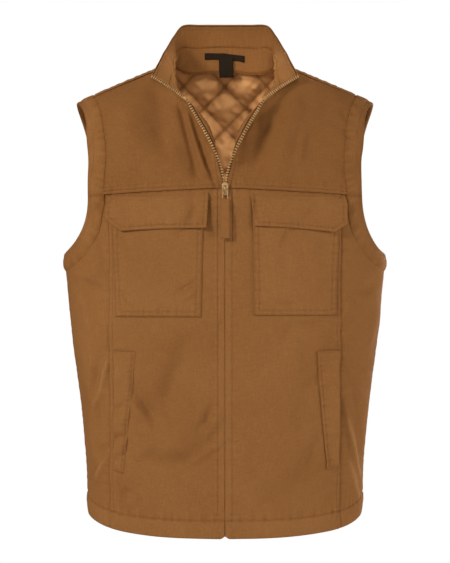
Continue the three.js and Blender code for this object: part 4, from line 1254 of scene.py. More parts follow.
class FrontEdge:
    """Frames along one front edge: point, direction into the cloth, outward normal and share of way."""

    def __init__(self, sign):
        z = np.linspace(ZIP_FOOT, YOKE_CENTRE - 3, 90)
        share = np.linspace(0.012, 0.985, 100)
        level = np.linspace(0.05, 1, 30)
        frames = [self.lower(sign, v) for v in z] + [self.upper(sign, t) for t in share]
        f = np.array([COLLAR_END - 0.02, COLLAR_END])
        p, n, _, _, _ = collar_grid(np.concatenate([f - 0.04, f]), level)
        into = unit(p[:, -2] - p[:, -1])
        flip = mirror(sign)
        self.point = np.concatenate([[v[0] for v in frames], p[:, -1] * flip])
        self.into = np.concatenate([[v[1] for v in frames], into * flip])
        self.out = np.concatenate([[v[2] for v in frames], n[:, -2] * flip])
        self.share = np.concatenate([0 * z, share, 0 * level + 1])
        self.on_collar = np.concatenate([0 * z, 0 * share, 0 * level + 1])

    @staticmethod
    def lower(sign, z):
        p, n = on_front(sign * np.array([FRONT_GAP, FRONT_GAP + 3]), z)
        return p[0], unit(p[1] - p[0]), n[0]

    @staticmethod
    def upper(sign, t):
        p, n, _, _ = YokeRow(t * EDGE_SHARE, sign).at([0.0, 3.0])
        return p[0], unit(p[1] - p[0]), n[0]

    def chain(self):
        place_in = mix(0.65, -2.3, parting(self.share))
        deep = mix(-3.6, -2.4, parting(self.share)) * (1 - self.on_collar)
        return self.point + self.into * place_in[:, None] + self.out * deep[:, None]


EDGES = {sign: FrontEdge(sign) for sign in (1, -1)}


def zip_core(sign):
    """The cord that the teeth are set on, at the edge of the tape."""
    edge = EDGES[sign]
    middle = edge.chain()
    turn = np.linspace(0, 2 * math.pi, 9)[:-1]
    across_part, out_part = 1.0 * np.cos(turn), 0.9 * np.sin(turn)
    rings = middle[:, None] + edge.into[:, None] * (across_part + 0.9)[None, :, None]
    return rings + edge.out[:, None] * out_part[None, :, None]


def zip_tape(sign):
    """The tape behind a front edge, from the foot of the zip to the collar's corner."""
    edge = EDGES[sign]
    deep = np.where(edge.on_collar > 0, 0, -SEAM_DEPTH)
    rows_out, rows_in = [], []
    for k in range(len(edge.share)):
        near = mix(2.6, -0.7, float(parting(edge.share[k])))
        e = np.linspace(near, 13.5 if edge.on_collar[k] < 1 else 8.5, 12)
        if edge.share[k] <= 0:
            p, n = on_front(sign * (FRONT_GAP + e), edge.point[k, 2])
        elif edge.on_collar[k] < 1:
            p, n, _, _ = YokeRow(edge.share[k] * EDGE_SHARE, sign).at(np.maximum(0, e))
            p = p + edge.into[k] * np.minimum(0, e)[:, None]
        else:
            p = edge.point[k] + edge.into[k] * e[:, None]
            n = np.repeat(edge.out[k][None], 12, 0)
        rows_out.append(p + n * (deep[k] + 0.35))
        rows_in.append(p + n * (deep[k] - 0.35))
    name = "zip_tape_" + SIDE_WORD[sign]
    return slab(name + "_weave", np.array(rows_out), np.array(rows_in)), name


# The strip inside each front edge: its width, and the depths of its two faces
FACING_WIDTH = 35
FACING_OUTER = 3.6
FACING_INNER = 4.9


def front_facing(sign):
    """The strip inside a front edge, below the yoke seam and above it."""
    outer, inner, painted_shading = [], [], []
    for t in np.linspace(0, 1, 120):
        e = np.linspace(3.4, FACING_WIDTH, 26)
        x = FRONT_GAP + e
        level = mix(hem_z(x) + 3, yoke_z(x) - 3, t)
        p, n = on_front(sign * x, level)
        outer.append(p - n * FACING_OUTER)
        inner.append(p - n * (FACING_INNER + 0.3 * drift(level, e, 40))[:, None])
        painted_shading.append(0 * e)
    for t in np.linspace(0.03, 1.0, 90):
        e = np.linspace(mix(3.2, 0.9, t), FACING_WIDTH, 26)
        p, n, _, _ = YokeRow(t * EDGE_SHARE, sign).at(e)
        wavy = 0.35 * drift(300 * t, e, 30) + 0.3 * pucker(260 * t, e - 7, 8, 12)
        detail = -0.5 * ridge(e - 7, 1.3)
        outer.append(p - n * FACING_OUTER)
        inner.append(p - n * (FACING_INNER + wavy + detail)[:, None])
        painted_shading.append(painted_shade_of(detail))
    return duck("front_facing_" + SIDE_WORD[sign], outer, inner, painted_shading)


# The quilted lining


def gathers(line, along):
    """Wrinkles that run out square from one family of sewn lines."""
    off = line - np.round(line)
    reach = np.abs(off) * QUILT_ACROSS
    lane = np.round(line) * 67 + np.sign(off) * 29
    rise = reach / 7 * np.exp(1 - reach / 7) * smooth(22, 13, reach)
    return drift(along * QUILT_ACROSS, lane, 13) * rise


def quilt(x, z):
    """Height of the padding between the sewn diamonds, its painted light and shade, and the place among the
    sewn lines.
    """
    level = z - QUILT_LEVEL
    u, v = (x + level) / QUILT, (x - level) / QUILT
    near_u = np.abs(u - np.round(u)) * QUILT_ACROSS
    near_v = np.abs(v - np.round(v)) * QUILT_ACROSS
    pillow = (1 - np.exp(-((near_u / 12) ** 1.2))) * (1 - np.exp(-((near_v / 12) ** 1.2)))
    height = QUILT_PUFF * pillow + 3 * (gathers(u, v) + gathers(v, u)) * pillow**0.3
    height = height + 1.5 * pillow * drift(x, z, 24)
    uneven_u = 1 + 0.5 * drift(v * QUILT_ACROSS, np.round(u) * 71, 15)
    uneven_v = 1 + 0.5 * drift(u * QUILT_ACROSS, np.round(v) * 83, 15)
    valley = np.maximum(ridge(near_u, 4.5) * uneven_u, ridge(near_v, 4.5) * uneven_v)
    knot = ridge(near_u, 4) * ridge(near_v, 4)
    # Painted light on the puffs, painted shade in the valleys along the sewn lines and darker still at
    # their crossings
    painted_shading = 0.25 * (pillow - 0.5) - 0.4 * valley - 0.6 * knot
    return height, painted_shading, np.stack([u, v], -1)


def quilt_layer(thing, sewn):
    """Keeps the quilting's own coordinates on both faces of a lining."""
    add_uv(thing.data, "quilt", np.stack([sewn, sewn]))
    return thing


# Mean depth of a section for each unit of its half width
SECTION_DEPTH = 0.53


def section_run():
    """Places across half a section of unit width, and the run of cloth up to them."""
    x = np.sin(np.linspace(0, math.pi / 2, 400)) ** (2 / SECTION_POWER)
    deep = SECTION_DEPTH * np.maximum(0, 1 - x**SECTION_POWER) ** (1 / SECTION_POWER)
    steps = np.hypot(np.diff(x), np.diff(deep))
    return x, np.concatenate([[0], np.cumsum(steps)])


RUN_X, RUN_LENGTH = section_run()


def girth_at(x, z):
    """Distance round the body from the middle line, at x."""
    half = half_at(z)
    return np.sign(x) * half * np.interp(np.abs(x) / half, RUN_X, RUN_LENGTH)


# Where the back's lining starts, as a share of the way from hem to neck, and the depths of
# the faces of the linings below the body's surface
LINING_FOOT = 0.06
BACK_LINING = (1.9, 3.4)
FRONT_LINING = (5.2, 6.6)


def lining_back():
    """The quilted lining of the back, from above the hem to the neck and the armholes."""
    rows = LINING_FOOT + graded((0.52, 56), (0.94, 150))
    s, t, _, p, n = back_surface(rows, graded((0.5, 52), (1, 24)), -0.004, 0.06)
    x, z = p[..., 0], p[..., 2]
    height, painted_shading, sewn = quilt(girth_at(x, z), z)
    edge = smooth(0, 26, z - z[:1]) * smooth(0, 0.05, both(1 - t)) * smooth(0, 0.05, both(1 - s))
    base = np.minimum(back_base(x, z), 0)
    outside = p + n * (base - BACK_LINING[0])[..., None]
    inside = p + n * (base - BACK_LINING[1] - height * edge)[..., None]
    made = slab("lining_back_taffeta", outside, inside, painted_shading)
    return quilt_layer(made, sewn), "lining_back"


def lining_front(sign):
    """The quilted lining of one front, row by row from the hem to the shoulder."""
    outside, inside, painted_shading, sewn = [], [], [], []

    def row(x0, z0, x1, z1, taper):
        s = np.linspace(0, 1, 64)
        z = mix(z0, z1, s)
        angle = mix(float(angle_at(x0, z0)), float(angle_at(x1, z1)), s)
        x = sign * section_x(angle, z)
        p, n = surface(x, z, FRONT)
        height, shade, lines = quilt(girth_at(x, z), z)
        height = height * smooth(0, 0.12, s) * smooth(0, 0.06, 1 - s) * taper
        base = front_base(x, z)
        outside.append(p + n * (base - FRONT_LINING[0])[:, None])
        inside.append(p + n * (base - FRONT_LINING[1] - height)[:, None])
        painted_shading.append(shade)
        sewn.append(lines)

    start = FRONT_GAP + FACING_WIDTH
    for t in np.linspace(0, 1, 96):
        lift = 22 * (1 - t)
        if t < ARMPIT_SIDE:
            z1 = mix(SIDE_FOOT_Z, ARMPIT_Z, t / ARMPIT_SIDE)
            x1 = section_x(math.pi / 2 - 0.02, z1)
        else:
            turn = mix(0.5, YOKE_TURN, (t - ARMPIT_SIDE) / (1 - ARMPIT_SIDE))
            x1, _, z1, _ = armhole("seam", turn)
            x1 = float(x1) - 1.5
        z0 = float(mix(hem_z(start), yoke_z(start) - 6, t))
        row(start, z0 + lift, x1, float(z1) + lift, float(smooth(0, 0.05, t)))
    for t in np.linspace(0, 1, 46):
        share = mix(0.03, 0.97, t)
        x1, _, z1, _ = armhole("seam", mix(YOKE_TURN, SHOULDER_TURN, share))
        along_neck = max(0, share - EDGE_SHARE) / (0.97 - EDGE_SHARE)
        reach = mix(FACING_WIDTH + 1, 4, along_neck)
        _, _, x0, z0 = YokeRow(share, 1).at([reach])
        row(float(x0[0]), float(z0[0]), float(x1) - 1.5, float(z1), float(smooth(0, 0.1, 1 - t)))
    name = "lining_front_" + SIDE_WORD[sign]
    made = slab(name + "_taffeta", np.array(outside), np.array(inside), np.array(painted_shading))
    return quilt_layer(made, np.array(sewn)), name


# Pockets, flaps and welts on the fronts

# Creases of the chest pockets, in the columns of the front folds
POCKET_FOLDS = [
    ("right inner pull", -70, -351, -40, -333, 5, -3.6),
    ("right inner crest", -64, -360, -40, -345, 5, 2.8),
    ("right outer pull", -156, -347, -132, -372, 5, -3.2),
    ("right foot swell", -100, -368, -60, -366, 9, 1.5),
    ("left foot crease", 60, -366, 124, -372, 5, -1.8),
    ("left middle drape", 104, -280, 112, -360, 20, -1.4),
    ("right upper drape", -140, -268, -90, -300, 14, -1.6),
]


def pocket_edges(size, t):
    inner = mix(size["inner_foot"], size["inner"], t)
    return inner, mix(size["outer_foot"], size["outer"], t)


def chest_pocket(sign):
    """A patch pocket, a little full, with two rows of stitches along its edges."""
    size = POCKETS[sign]
    s, t = np.meshgrid(np.linspace(0, 1, 82), np.linspace(0, 1, 104))
    inner, outer = pocket_edges(size, t)
    x, z = mix(inner, outer, s), mix(size["foot"], size["top"], t)
    off = np.minimum(np.minimum(x - inner, outer - x), z - size["foot"])
    along = np.where(z - size["foot"] < off + 0.01, x, z)
    p, n = surface(sign * x, z, FRONT)
    near, far = POCKET_ROWS
    rows = -0.6 * ridge(off - near, 1.2) - 0.75 * ridge(off - far, 1.3)
    puff = 1.5 * smooth(4, 48, off)
    fold = folds(POCKET_FOLDS, sign * x, z) * smooth(4, 16, off)
    detail = rows - 1.5 * smooth(1.8, 0, off) + 0.3 * pucker(along, off - 6, 8, 11)
    lift = front_base(sign * x, z) + 2.5 + puff + fold + detail
    outside = p + n * lift[..., None]
    inside = p + n * (front_base(sign * x, z) + 0.5)[..., None]
    painted_shading = painted_shade_of((detail + 0.3) * (0.5 if sign < 0 else 1))
    return duck("chest_pocket_" + SIDE_WORD[sign], outside, inside, painted_shading)


def flap_foot(size, x):
    share = (x - size["inner_foot"]) / (size["outer"] - size["inner_foot"])
    level = mix(size["foot_inner"], size["foot_outer"], share)
    level = level + 1.6 * np.sin(math.pi * np.clip(share, 0, 1))
    return level + size["cut"] * np.maximum(0, (x - (size["outer"] - size["corner"])) / size["corner"])


def flap_places(sign, s, t):
    size = FLAPS[sign]
    x = mix(mix(size["inner_foot"], size["inner"], t), size["outer"], s)
    low, high = flap_foot(size, x), yoke_z(x) + 5
    z = mix(low, high, t)
    slope = np.where(x > size["outer"] - size["corner"], 0.78, 1)
    inner = mix(size["inner_foot"], size["inner"], t)
    off = np.minimum(np.minimum(x - inner, size["outer"] - x), (z - low) * slope)
    return x, z, off


def pocket_flap(sign):
    """A flap that hangs from the yoke seam, with its outer corner cut off."""
    s, t = np.meshgrid(np.linspace(0, 1, 104), np.linspace(0, 1, 52))
    x, z, off = flap_places(sign, s, t)
    p, n = surface(sign * x, z, FRONT)
    below = yoke_z(x) - z
    stand = 2.5 * (1 - t) ** 2 + (1.5 if sign < 0 else 0.2) * np.exp(-((s / 0.16) ** 2) - (t / 0.5) ** 2)
    stand = stand + 1.2 * np.exp(-(((s - 0.8) / 0.2) ** 2) - (t / 0.4) ** 2)
    height = mix(-1.6, 5.2, smooth(-1, 15, below)) + stand * smooth(2, 30, below)
    if sign < 0:
        height = height - 3.2 * smooth(0.86, 1, s) * smooth(2, 14, below)
    else:
        height = height - 2.7 * smooth(0.12, 0, s) * smooth(2, 14, below)
    wavy = 0.5 * drift(sign * x + 40, z, 50) * smooth(4, 24, below)
    along = np.where(off >= z - flap_foot(FLAPS[sign], x) - 0.01, x, z)
    detail = sewn_line(off - FLAP_ROW, along, (0.55, 1.3), (0.25, 7, 10))
    detail = detail - 1.0 * smooth(1.6, 0, off) - 0.7 * ridge(below, 3)
    base = front_base(sign * x, z)
    outside = p + n * (base + height + wavy + detail)[..., None]
    inside = p + n * (base + height + wavy - 2.2)[..., None]
    return duck("pocket_flap_" + SIDE_WORD[sign], outside, inside, painted_shade_of(detail + 0.2))


def welt_places(sign, s, t):
    size = WELTS[sign]
    wide = mix(size["narrow"], size["wide"], t)
    x = size["outer"] - wide * (1 - s)
    z = mix(size["foot"], size["top"], t) + 5 * s * (1 - t) + 2 * s * t
    off = np.minimum(wide * s, np.minimum((z - size["foot"]), (size["top"] + 2 - z)))
    return x, z, off


# Ripples of the right welt: level, width and height
WELT_RIPPLES = [
    (-514, 6, -2.8),
    (-537, 9, 2.4),
    (-560, 7, -2.8),
    (-578, 8, 2.4),
    (-594, 6, -2.24),
]


def hand_pocket_welt(sign):
    """A slanting welt that narrows towards its foot."""
    s, t = np.meshgrid(np.linspace(0, 1, 26), np.linspace(0, 1, 112))
    x, z, off = welt_places(sign, s, t)
    p, n = surface(sign * x, z, FRONT)
    crumple = 0.5 * pucker(z, s - 0.75, 0.6, 32)
    fold = 3.6 * smooth(0.3, 1, s)
    if sign < 0:
        slack = smooth(-466, -512, z) * smooth(-626, -590, z)
        bent = z + 12 * s
        ripples = sum(height * ridge(bent - level, width) for level, width, height in WELT_RIPPLES)
        crumple = slack * (0.7 + ripples) * smooth(-0.15, 0.3, s) + crumple
        fold = 1.2 * smooth(0.5, 1, s) - 1.9 * smooth(0.3, 0, s)
    detail = sewn_line(off - WELT_ROW, z, (0.5, 1.3), (0.3, 7, 12)) - 0.8 * smooth(1.6, 0, off)
    base = front_base(sign * x, z)
    outside = p + n * (base + 2.9 + fold + crumple + detail)[..., None]
    inside = p + n * (base + 0.4 + (fold + crumple) * 0.6)[..., None]
    return duck("hand_pocket_welt_" + SIDE_WORD[sign], outside, inside, painted_shade_of(detail + 0.2))


# Bare labels inside the neck


def neck_label():
    """A bare strip across the neck facing, a little askew."""
    p, n, _, f, h = collar_grid(np.linspace(-0.122, 0.118, 40), np.linspace(0.2, 0.345, 9))
    tilt = -0.035 * f / 0.12
    up = np.array([0, 0, 1])
    p = p + up * (tilt * COLLAR_HEIGHT)[..., None]
    seen = p - n * (4.1 + 0.4 * drift(collar_length(f), h * 60, 26))[..., None]
    return slab("neck_label_satin", seen + n * 0.8, seen), "neck_label"


def size_label():
    """A bare tab that hangs below the strip."""
    s, t = np.meshgrid(np.linspace(-1, 1, 14), np.linspace(0, 1, 26))
    x = 11.5 * s + 1.5 + 1.2 * (1 - t)
    y = 77.4 - 4.4 * (1 - t) - 1.8 * np.sin(math.pi * t) + 1.2 * s * (1 - t)
    seen = np.stack([x, y, mix(-6, 26, t) + 0.6 * s], -1)
    return slab("size_label_satin", seen + np.array([0, 0.8, 0]), seen), "size_label"


# The zip's hard pieces

# Levels and depths of the slider, its plate, the puller's pivot and the foot of the tab
SLIDER_Z = -196
PLATE_Y = -133.4
PIVOT_Y = -137.2
PIVOT_Z = -197
TAB_FOOT = -269.4


WIRE_SIDES = 12


def wire(path, radius, closed=False, flat=1.0):
    """A round or flattened rod along a path in the plane of the front."""
    path = np.asarray(path, float)
    ahead = np.roll(path, -1, 0) - np.roll(path, 1, 0) if closed else np.gradient(path, axis=0)
    ahead = unit(ahead)
    beside = unit(np.cross(ahead, np.array([0.02, 1.0, 0.03])))
    other = np.cross(ahead, beside)
    turn = np.linspace(0, 2 * math.pi, WIRE_SIDES + 1)[:-1]
    rings = path[:, None] + beside[:, None] * (radius * np.cos(turn))[None, :, None]
    return rings + other[:, None] * (radius * flat * np.sin(turn))[None, :, None]


def rounded_loop(half_wide, top, foot, radius, y):
    turn = np.linspace(0, math.pi / 2, 6)
    points = []
    for cx, cz, start in (
        (half_wide - radius, top - radius, 0),
        (-half_wide + radius, top - radius, math.pi / 2),
        (-half_wide + radius, foot + radius, math.pi),
        (half_wide - radius, foot + radius, 1.5 * math.pi),
    ):
        for a in turn + start:
            points.append((cx + radius * math.cos(a), y, cz + radius * math.sin(a)))
    return np.array(points)


def from_bmesh(name, base):
    mesh = bpy.data.meshes.new(name)
    base.to_mesh(mesh)
    base.free()
    mesh.shade_smooth()
    return in_scene(name, mesh)


def joined(name, things):
    base = bmesh.new()
    for thing in things:
        base.from_mesh(thing.data)
        bpy.data.objects.remove(thing)
    return from_bmesh(name, base)


def plate(name, outline, near, far, bevel):
    """A flat plate with rounded rims: its outline in the front view between two depths."""
    base = bmesh.new()
    loop = [base.verts.new((x * MM, near * MM, z * MM)) for x, z in outline]
    face = base.faces.new(loop)
    moved = bmesh.ops.extrude_face_region(base, geom=[face])["geom"]
    for v in moved:
        if isinstance(v, bmesh.types.BMVert):
            v.co.y = far * MM
    bmesh.ops.recalc_face_normals(base, faces=base.faces)
    rims = [e for e in base.edges if abs(e.verts[0].co.y - e.verts[1].co.y) < 1e-7]
    bmesh.ops.bevel(base, geom=rims, offset=bevel * MM, segments=3, profile=0.6, affect="EDGES")
    return from_bmesh(name, base)


def shield(wide_top, wide_foot, tall, z):
    """A slider's outline: broad shoulders above, a narrower round foot."""
    outline = []
    for a in np.linspace(0, math.pi, 10):
        outline.append((wide_top * math.cos(a), z + tall * 0.28 + tall * 0.22 * math.sin(a)))
    for a in np.linspace(math.pi, 2 * math.pi, 10):
        outline.append((wide_foot * math.cos(a), z - tall * 0.4 + tall * 0.1 * math.sin(a)))
    return outline


def zip_slider():
    """A plate with an arch for the puller and a rim down either side."""
    outline = shield(wide_top=5.0, wide_foot=3.7, tall=20, z=SLIDER_Z)
    top = plate("slider_plate", outline, near=PLATE_Y, far=PLATE_Y - 1.8, bevel=0.6)
    turn = np.linspace(0, math.pi, 17)
    arch = np.stack([
        0 * turn,
        PLATE_Y - 1.2 - 3.9 * np.sin(turn) ** 0.8,
        PIVOT_Z + 0.4 + 5.6 * np.cos(turn),
    ], -1)
    bridge = tube("slider_arch", wire(arch, 1.15, flat=0.75))
    rims = []
    for side in (-1, 1):
        rim = np.stack([
            side * np.linspace(4.4, 3.2, 8),
            np.full(8, PLATE_Y + 0.3),
            np.linspace(SLIDER_Z + 6, SLIDER_Z - 8, 8),
        ], -1)
        rims.append(tube("slider_rim", wire(rim, 0.6)))
    return joined("zip_slider_brass", [top, bridge, *rims])


def zip_puller():
    """The metal link that swings in the slider's arch."""
    loop = rounded_loop(half_wide=3.9, top=PIVOT_Z + 0.9, foot=PIVOT_Z - 19.4, radius=2.0, y=PIVOT_Y)
    return tube("zip_puller_brass", wire(loop, 0.85, closed=True, flat=0.9), closed=True)


def zip_pull_tab():
    """A strip of duck folded round the link's lower bar and sewn to itself."""
    bar_z = PIVOT_Z - 18.9
    top_z = bar_z + 3.5
    front = np.stack([np.full(40, PIVOT_Y - 1.3), np.linspace(TAB_FOOT, top_z - 1.5, 40)], -1)
    turn = np.linspace(0, math.pi, 14)[1:-1]
    over = np.stack([PIVOT_Y - 1.7 * np.cos(turn), top_z + 1.7 * np.sin(turn)], -1)
    path = np.concatenate([front, over, front[::-1] + [2.6, 0]])
    pinch = 0.75 * smooth(bar_z - 5, bar_z - 14, path[:, 1]) * np.sign(PIVOT_Y - path[:, 0])
    path[:, 0] += pinch
    step = unit(np.gradient(path, axis=0))
    out = np.stack([-step[:, 1], step[:, 0]], -1)
    half = mix(5.2, 6.8, smooth(top_z + 1, top_z - 4, path[:, 1]))
    half = half - 0.5 * smooth(TAB_FOOT + 1.9, TAB_FOOT, path[:, 1])
    s = np.linspace(-1, 1, 22)
    along = np.arange(len(path))[:, None] * 1.4
    soft = 0.12 * drift(along, s[None] * 6, 14) - 0.25 * ridge(np.abs(s[None]) - 0.78, 0.1)
    x = half[:, None] * s[None]
    rows = []
    for push in (0.55, -0.45):
        y = path[:, 0][:, None] + out[:, 0][:, None] * (push + soft)
        z = path[:, 1][:, None] + out[:, 1][:, None] * (push + soft) + 0 * x
        rows.append(np.stack([x, y + 0 * x, z], -1))
    painted_shading = np.broadcast_to(painted_shade_of(2 * soft), x.shape)
    return slab("zip_pull_tab_duck", rows[0], rows[1], painted_shading)


# Outline of the stop box, in shares of half its width and height
STOP_OUTLINE = ((-1, -0.9), (-0.8, -1), (0.8, -1), (1, -0.9), (1, 0.8), (0.7, 1), (-0.7, 1), (-1, 0.8))


def zip_stop():
    """The box at the foot of the chain."""
    y = float(body_y(0.0, float(ZIP_FOOT), FRONT)) + 4.6
    outline = [(x * 3, ZIP_FOOT - 6.2 + z * 5.5) for x, z in STOP_OUTLINE]
    return plate("zip_stop_brass", outline, near=y - 1.7, far=y + 1.7, bevel=0.5)


# What repeats along a path: stitches and zip teeth


def node(tree, kind, **values):
    made = tree.nodes.new(kind)
    for key, value in values.items():
        setattr(made, key, value)
    return made


def repeat_tree(name, sizes, rounded):
    """Beads set at a pitch along paths that carry an upward direction, made real with one finish."""
    tree = bpy.data.node_groups.new(name, "GeometryNodeTree")
    face = tree.interface
    face.new_socket("Geometry", in_out="INPUT", socket_type="NodeSocketGeometry")
    for label, value in sizes:
        face.new_socket(label, in_out="INPUT", socket_type="NodeSocketFloat").default_value = value
    face.new_socket("Finish", in_out="INPUT", socket_type="NodeSocketMaterial")
    face.new_socket("Geometry", in_out="OUTPUT", socket_type="NodeSocketGeometry")
    given, result = node(tree, "NodeGroupInput"), node(tree, "NodeGroupOutput")
    link = tree.links.new
    path = node(tree, "GeometryNodeMeshToCurve")
    spaced = node(tree, "GeometryNodeResampleCurve", mode="LENGTH")
    link(given.outputs["Geometry"], path.inputs["Mesh"])
    link(path.outputs[0], spaced.inputs["Curve"])
    link(given.outputs["Pitch"], spaced.inputs["Length"])
    up = node(tree, "GeometryNodeInputNamedAttribute", data_type="FLOAT_VECTOR")
    up.inputs["Name"].default_value = "up"
    tangent = node(tree, "GeometryNodeInputTangent")
    facing = node(tree, "FunctionNodeAxesToRotation", primary_axis="Z", secondary_axis="X")
    link(up.outputs[0], facing.inputs[0])
    link(tangent.outputs[0], facing.inputs[1])
    size = node(tree, "ShaderNodeCombineXYZ")
    for k, label in enumerate(("Length", "Width", "Height")):
        link(given.outputs[label], size.inputs[k])
    if rounded:
        bead = node(tree, "GeometryNodeMeshUVSphere")
        bead.inputs["Segments"].default_value = 5
        bead.inputs["Rings"].default_value = 3
        bead.inputs["Radius"].default_value = 0.5
        shape = bead.outputs[0]
    else:
        bead = node(tree, "GeometryNodeMeshCube")
        softer = node(tree, "GeometryNodeSubdivisionSurface")
        softer.inputs["Level"].default_value = 1
        softer.inputs["Edge Crease"].default_value = 0.45
        link(bead.outputs[0], softer.inputs["Mesh"])
        shape = softer.outputs[0]
    sized = node(tree, "GeometryNodeTransform")
    link(shape, sized.inputs["Geometry"])
    link(size.outputs[0], sized.inputs["Scale"])
    beads = node(tree, "GeometryNodeInstanceOnPoints")
    link(spaced.outputs[0], beads.inputs["Points"])
    link(sized.outputs[0], beads.inputs["Instance"])
    link(facing.outputs[0], beads.inputs["Rotation"])
    real = node(tree, "GeometryNodeRealizeInstances")
    link(beads.outputs[0], real.inputs["Geometry"])
    smoothed = node(tree, "GeometryNodeSetShadeSmooth")
    link(real.outputs[0], smoothed.inputs["Geometry"])
    coat = node(tree, "GeometryNodeSetMaterial")
    link(smoothed.outputs[0], coat.inputs["Geometry"])
    link(given.outputs["Finish"], coat.inputs["Material"])
    link(coat.outputs[0], result.inputs[0])
    return tree


STITCH = repeat_tree(
    "thread_stitches", [("Pitch", 0.003), ("Length", 0.0027), ("Width", 0.0008), ("Height", 0.0006)], True
)
TOOTH = repeat_tree(
    "zip_teeth", [("Pitch", 0.0042), ("Length", 0.0024), ("Width", 0.005), ("Height", 0.0032)], False
)


def repeated(name, rows, tree, finish_used, **sizes):
    """Runs a repeat tree along rows of (points, upward directions) and returns a plain mesh object."""
    points = np.concatenate([p for p, _ in rows]) * MM
    ups = np.concatenate([u for _, u in rows])
    edges, start = [], 0
    for p, _ in rows:
        edges += [(start + k, start + k + 1) for k in range(len(p) - 1)]
        start += len(p)
    mesh = bpy.data.meshes.new(name)
    mesh.from_pydata(points.tolist(), edges, [])
    mark = mesh.attributes.new("up", "FLOAT_VECTOR", "POINT")
    mark.data.foreach_set("vector", np.asarray(ups, float).ravel())
    source = in_scene(name + "_paths", mesh)
    worker = source.modifiers.new("repeat", "NODES")
    worker.node_group = tree
    for item in tree.interface.items_tree:
        if item.in_out == "INPUT" and item.name in sizes:
            worker[item.identifier] = sizes[item.name]
        if item.in_out == "INPUT" and item.name == "Finish":
            worker[item.identifier] = finish_used
    graph = bpy.context.evaluated_depsgraph_get()
    made = bpy.data.meshes.new_from_object(source.evaluated_get(graph))
    bpy.data.objects.remove(source)
    return in_scene(name, made)


# How far above a piece a stitch starts, and how far it may drop, in metres
DROP_FROM = 0.014
DROP_REACH = 0.03


class Cloth:
    """A made piece that stitches can be laid on."""

    def __init__(self, thing):
        verts = [v.co.copy() for v in thing.data.vertices]
        self.tree = BVHTree.FromPolygons(verts, [tuple(f.vertices) for f in thing.data.polygons])

    def lay(self, p, n, proud=0.2):
        """Drops a row of points on the piece from above; returns rows broken where it is missed."""
        rows, points, ups = [], [], []
        for a, b in zip(p, n):
            way = Vector(b)
            hit, normal, _, _ = self.tree.ray_cast(Vector(a) * MM + way * DROP_FROM, -way, DROP_REACH)
            if hit is None:
                if len(points) > 2:
                    rows.append((np.array(points), np.array(ups)))
                points, ups = [], []
                continue
            points.append(np.array(hit) / MM + np.array(normal) * proud)
            ups.append(np.array(normal))
        if len(points) > 2:
            rows.append((np.array(points), np.array(ups)))
        return rows


# The pieces in their places

MADE = {}


def add(made, body="vest", slot="duck", material=DUCK):
    thing, name = made
    MADE[name] = place(thing, body, slot, material, name)


for side in (1, -1):
    add(front_yoke(side))
    add(front_panel(side))
    add(side_panel(side))
    add(armhole_band(side))
    add(zip_tape(side), slot="zip_tape", material=TAPE)
    add(front_facing(side))
    add(lining_front(side), slot="lining", material=TAFFETA)
    add(chest_pocket(side))
    add(pocket_flap(side))
    add(hand_pocket_welt(side))
add(back_panel())
add(collar_outer())
add(collar_lining("neck_facing", -0.085, 0.5, 30))
add(collar_lining("collar_facing", 0.5, 0.985, 26))
add(lining_back(), slot="lining", material=TAFFETA)
add(neck_label(), slot="label", material=LABEL)
add(size_label(), slot="label", material=LABEL)
add((zip_slider(), "zip_slider"), slot="zip_metal", material=SLIDER_BRASS)
add((zip_puller(), "zip_puller"), body="pull", slot="zip_metal", material=SLIDER_BRASS)
add((zip_pull_tab(), "zip_pull_tab"), body="pull")
add((zip_stop(), "zip_stop"), slot="zip_metal", material=SLIDER_BRASS)

# Zip teeth; the right row starts a step higher, so that the teeth of the two rows don't lie level
TOOTH_PITCH = 4.2
for side, word in SIDE_WORD.items():
    edge = EDGES[side]
    keep = edge.share < 1.01
    path = edge.chain()[keep]
    shown = (0.85 * smooth(0.1, 0.6, edge.share[keep]))[:, None]
    ups = unit(mix(edge.out[keep], np.array([0, -1, 0.15]), shown))
    if side < 0:
        path = path[1:]
        ups = ups[1:]
    teeth = repeated("zip_teeth_" + word, [(path, ups)], TOOTH, TEETH, Pitch=TOOTH_PITCH * MM)
    add((teeth, "zip_chain_" + word), slot="zip_teeth", material=TEETH)
    place(tube("zip_core_" + word, zip_core(side)), "vest", "zip_tape", CORD)

# Cut sizes of the cloth: width, length and flat area, in metres, how it is held and by what
SHEETS = [
    ("back_panel", 0.66, 0.8, 0.39, "hung", "lining_back"),
    ("collar_outer", 0.5, 0.075, 0.0304, "folded", "back_panel"),
    ("collar_facing", 0.48, 0.037, 0.014, "folded", "collar_outer"),
    ("neck_facing", 0.42, 0.041, 0.0148, "folded", "collar_outer"),
    ("chest_pocket_left", 0.134, 0.18, 0.0238, "laid", "front_panel_left"),
    ("chest_pocket_right", 0.141, 0.182, 0.0253, "laid", "front_panel_right"),
    ("pocket_flap_left", 0.152, 0.072, 0.0093, "hung", "front_yoke_left"),
    ("pocket_flap_right", 0.163, 0.072, 0.0103, "hung", "front_yoke_right"),
    ("neck_label", 0.064, 0.0105, None, "laid", "neck_facing"),
    ("size_label", 0.024, 0.033, None, "hung", "neck_facing"),
    ("zip_pull_tab", 0.0135, 0.125, None, "folded", "zip_puller"),
]
for word in ("left", "right"):
    SHEETS += [
        ("front_yoke_" + word, 0.24, 0.23, 0.039, "hung", "back_panel"),
        ("front_panel_" + word, 0.185, 0.54, 0.096, "hung", "front_yoke_" + word),
        ("side_panel_" + word, 0.16, 0.53, 0.055, "hung", "front_panel_" + word),
        ("front_facing_" + word, 0.035, 0.7, 0.023, "hung", "front_yoke_" + word),
        ("zip_tape_" + word, 0.0125, 0.72, 0.0082, "hung", "front_yoke_" + word),
        ("hand_pocket_welt_" + word, 0.034, 0.19, 0.0055, "laid", "front_panel_" + word),
    ]

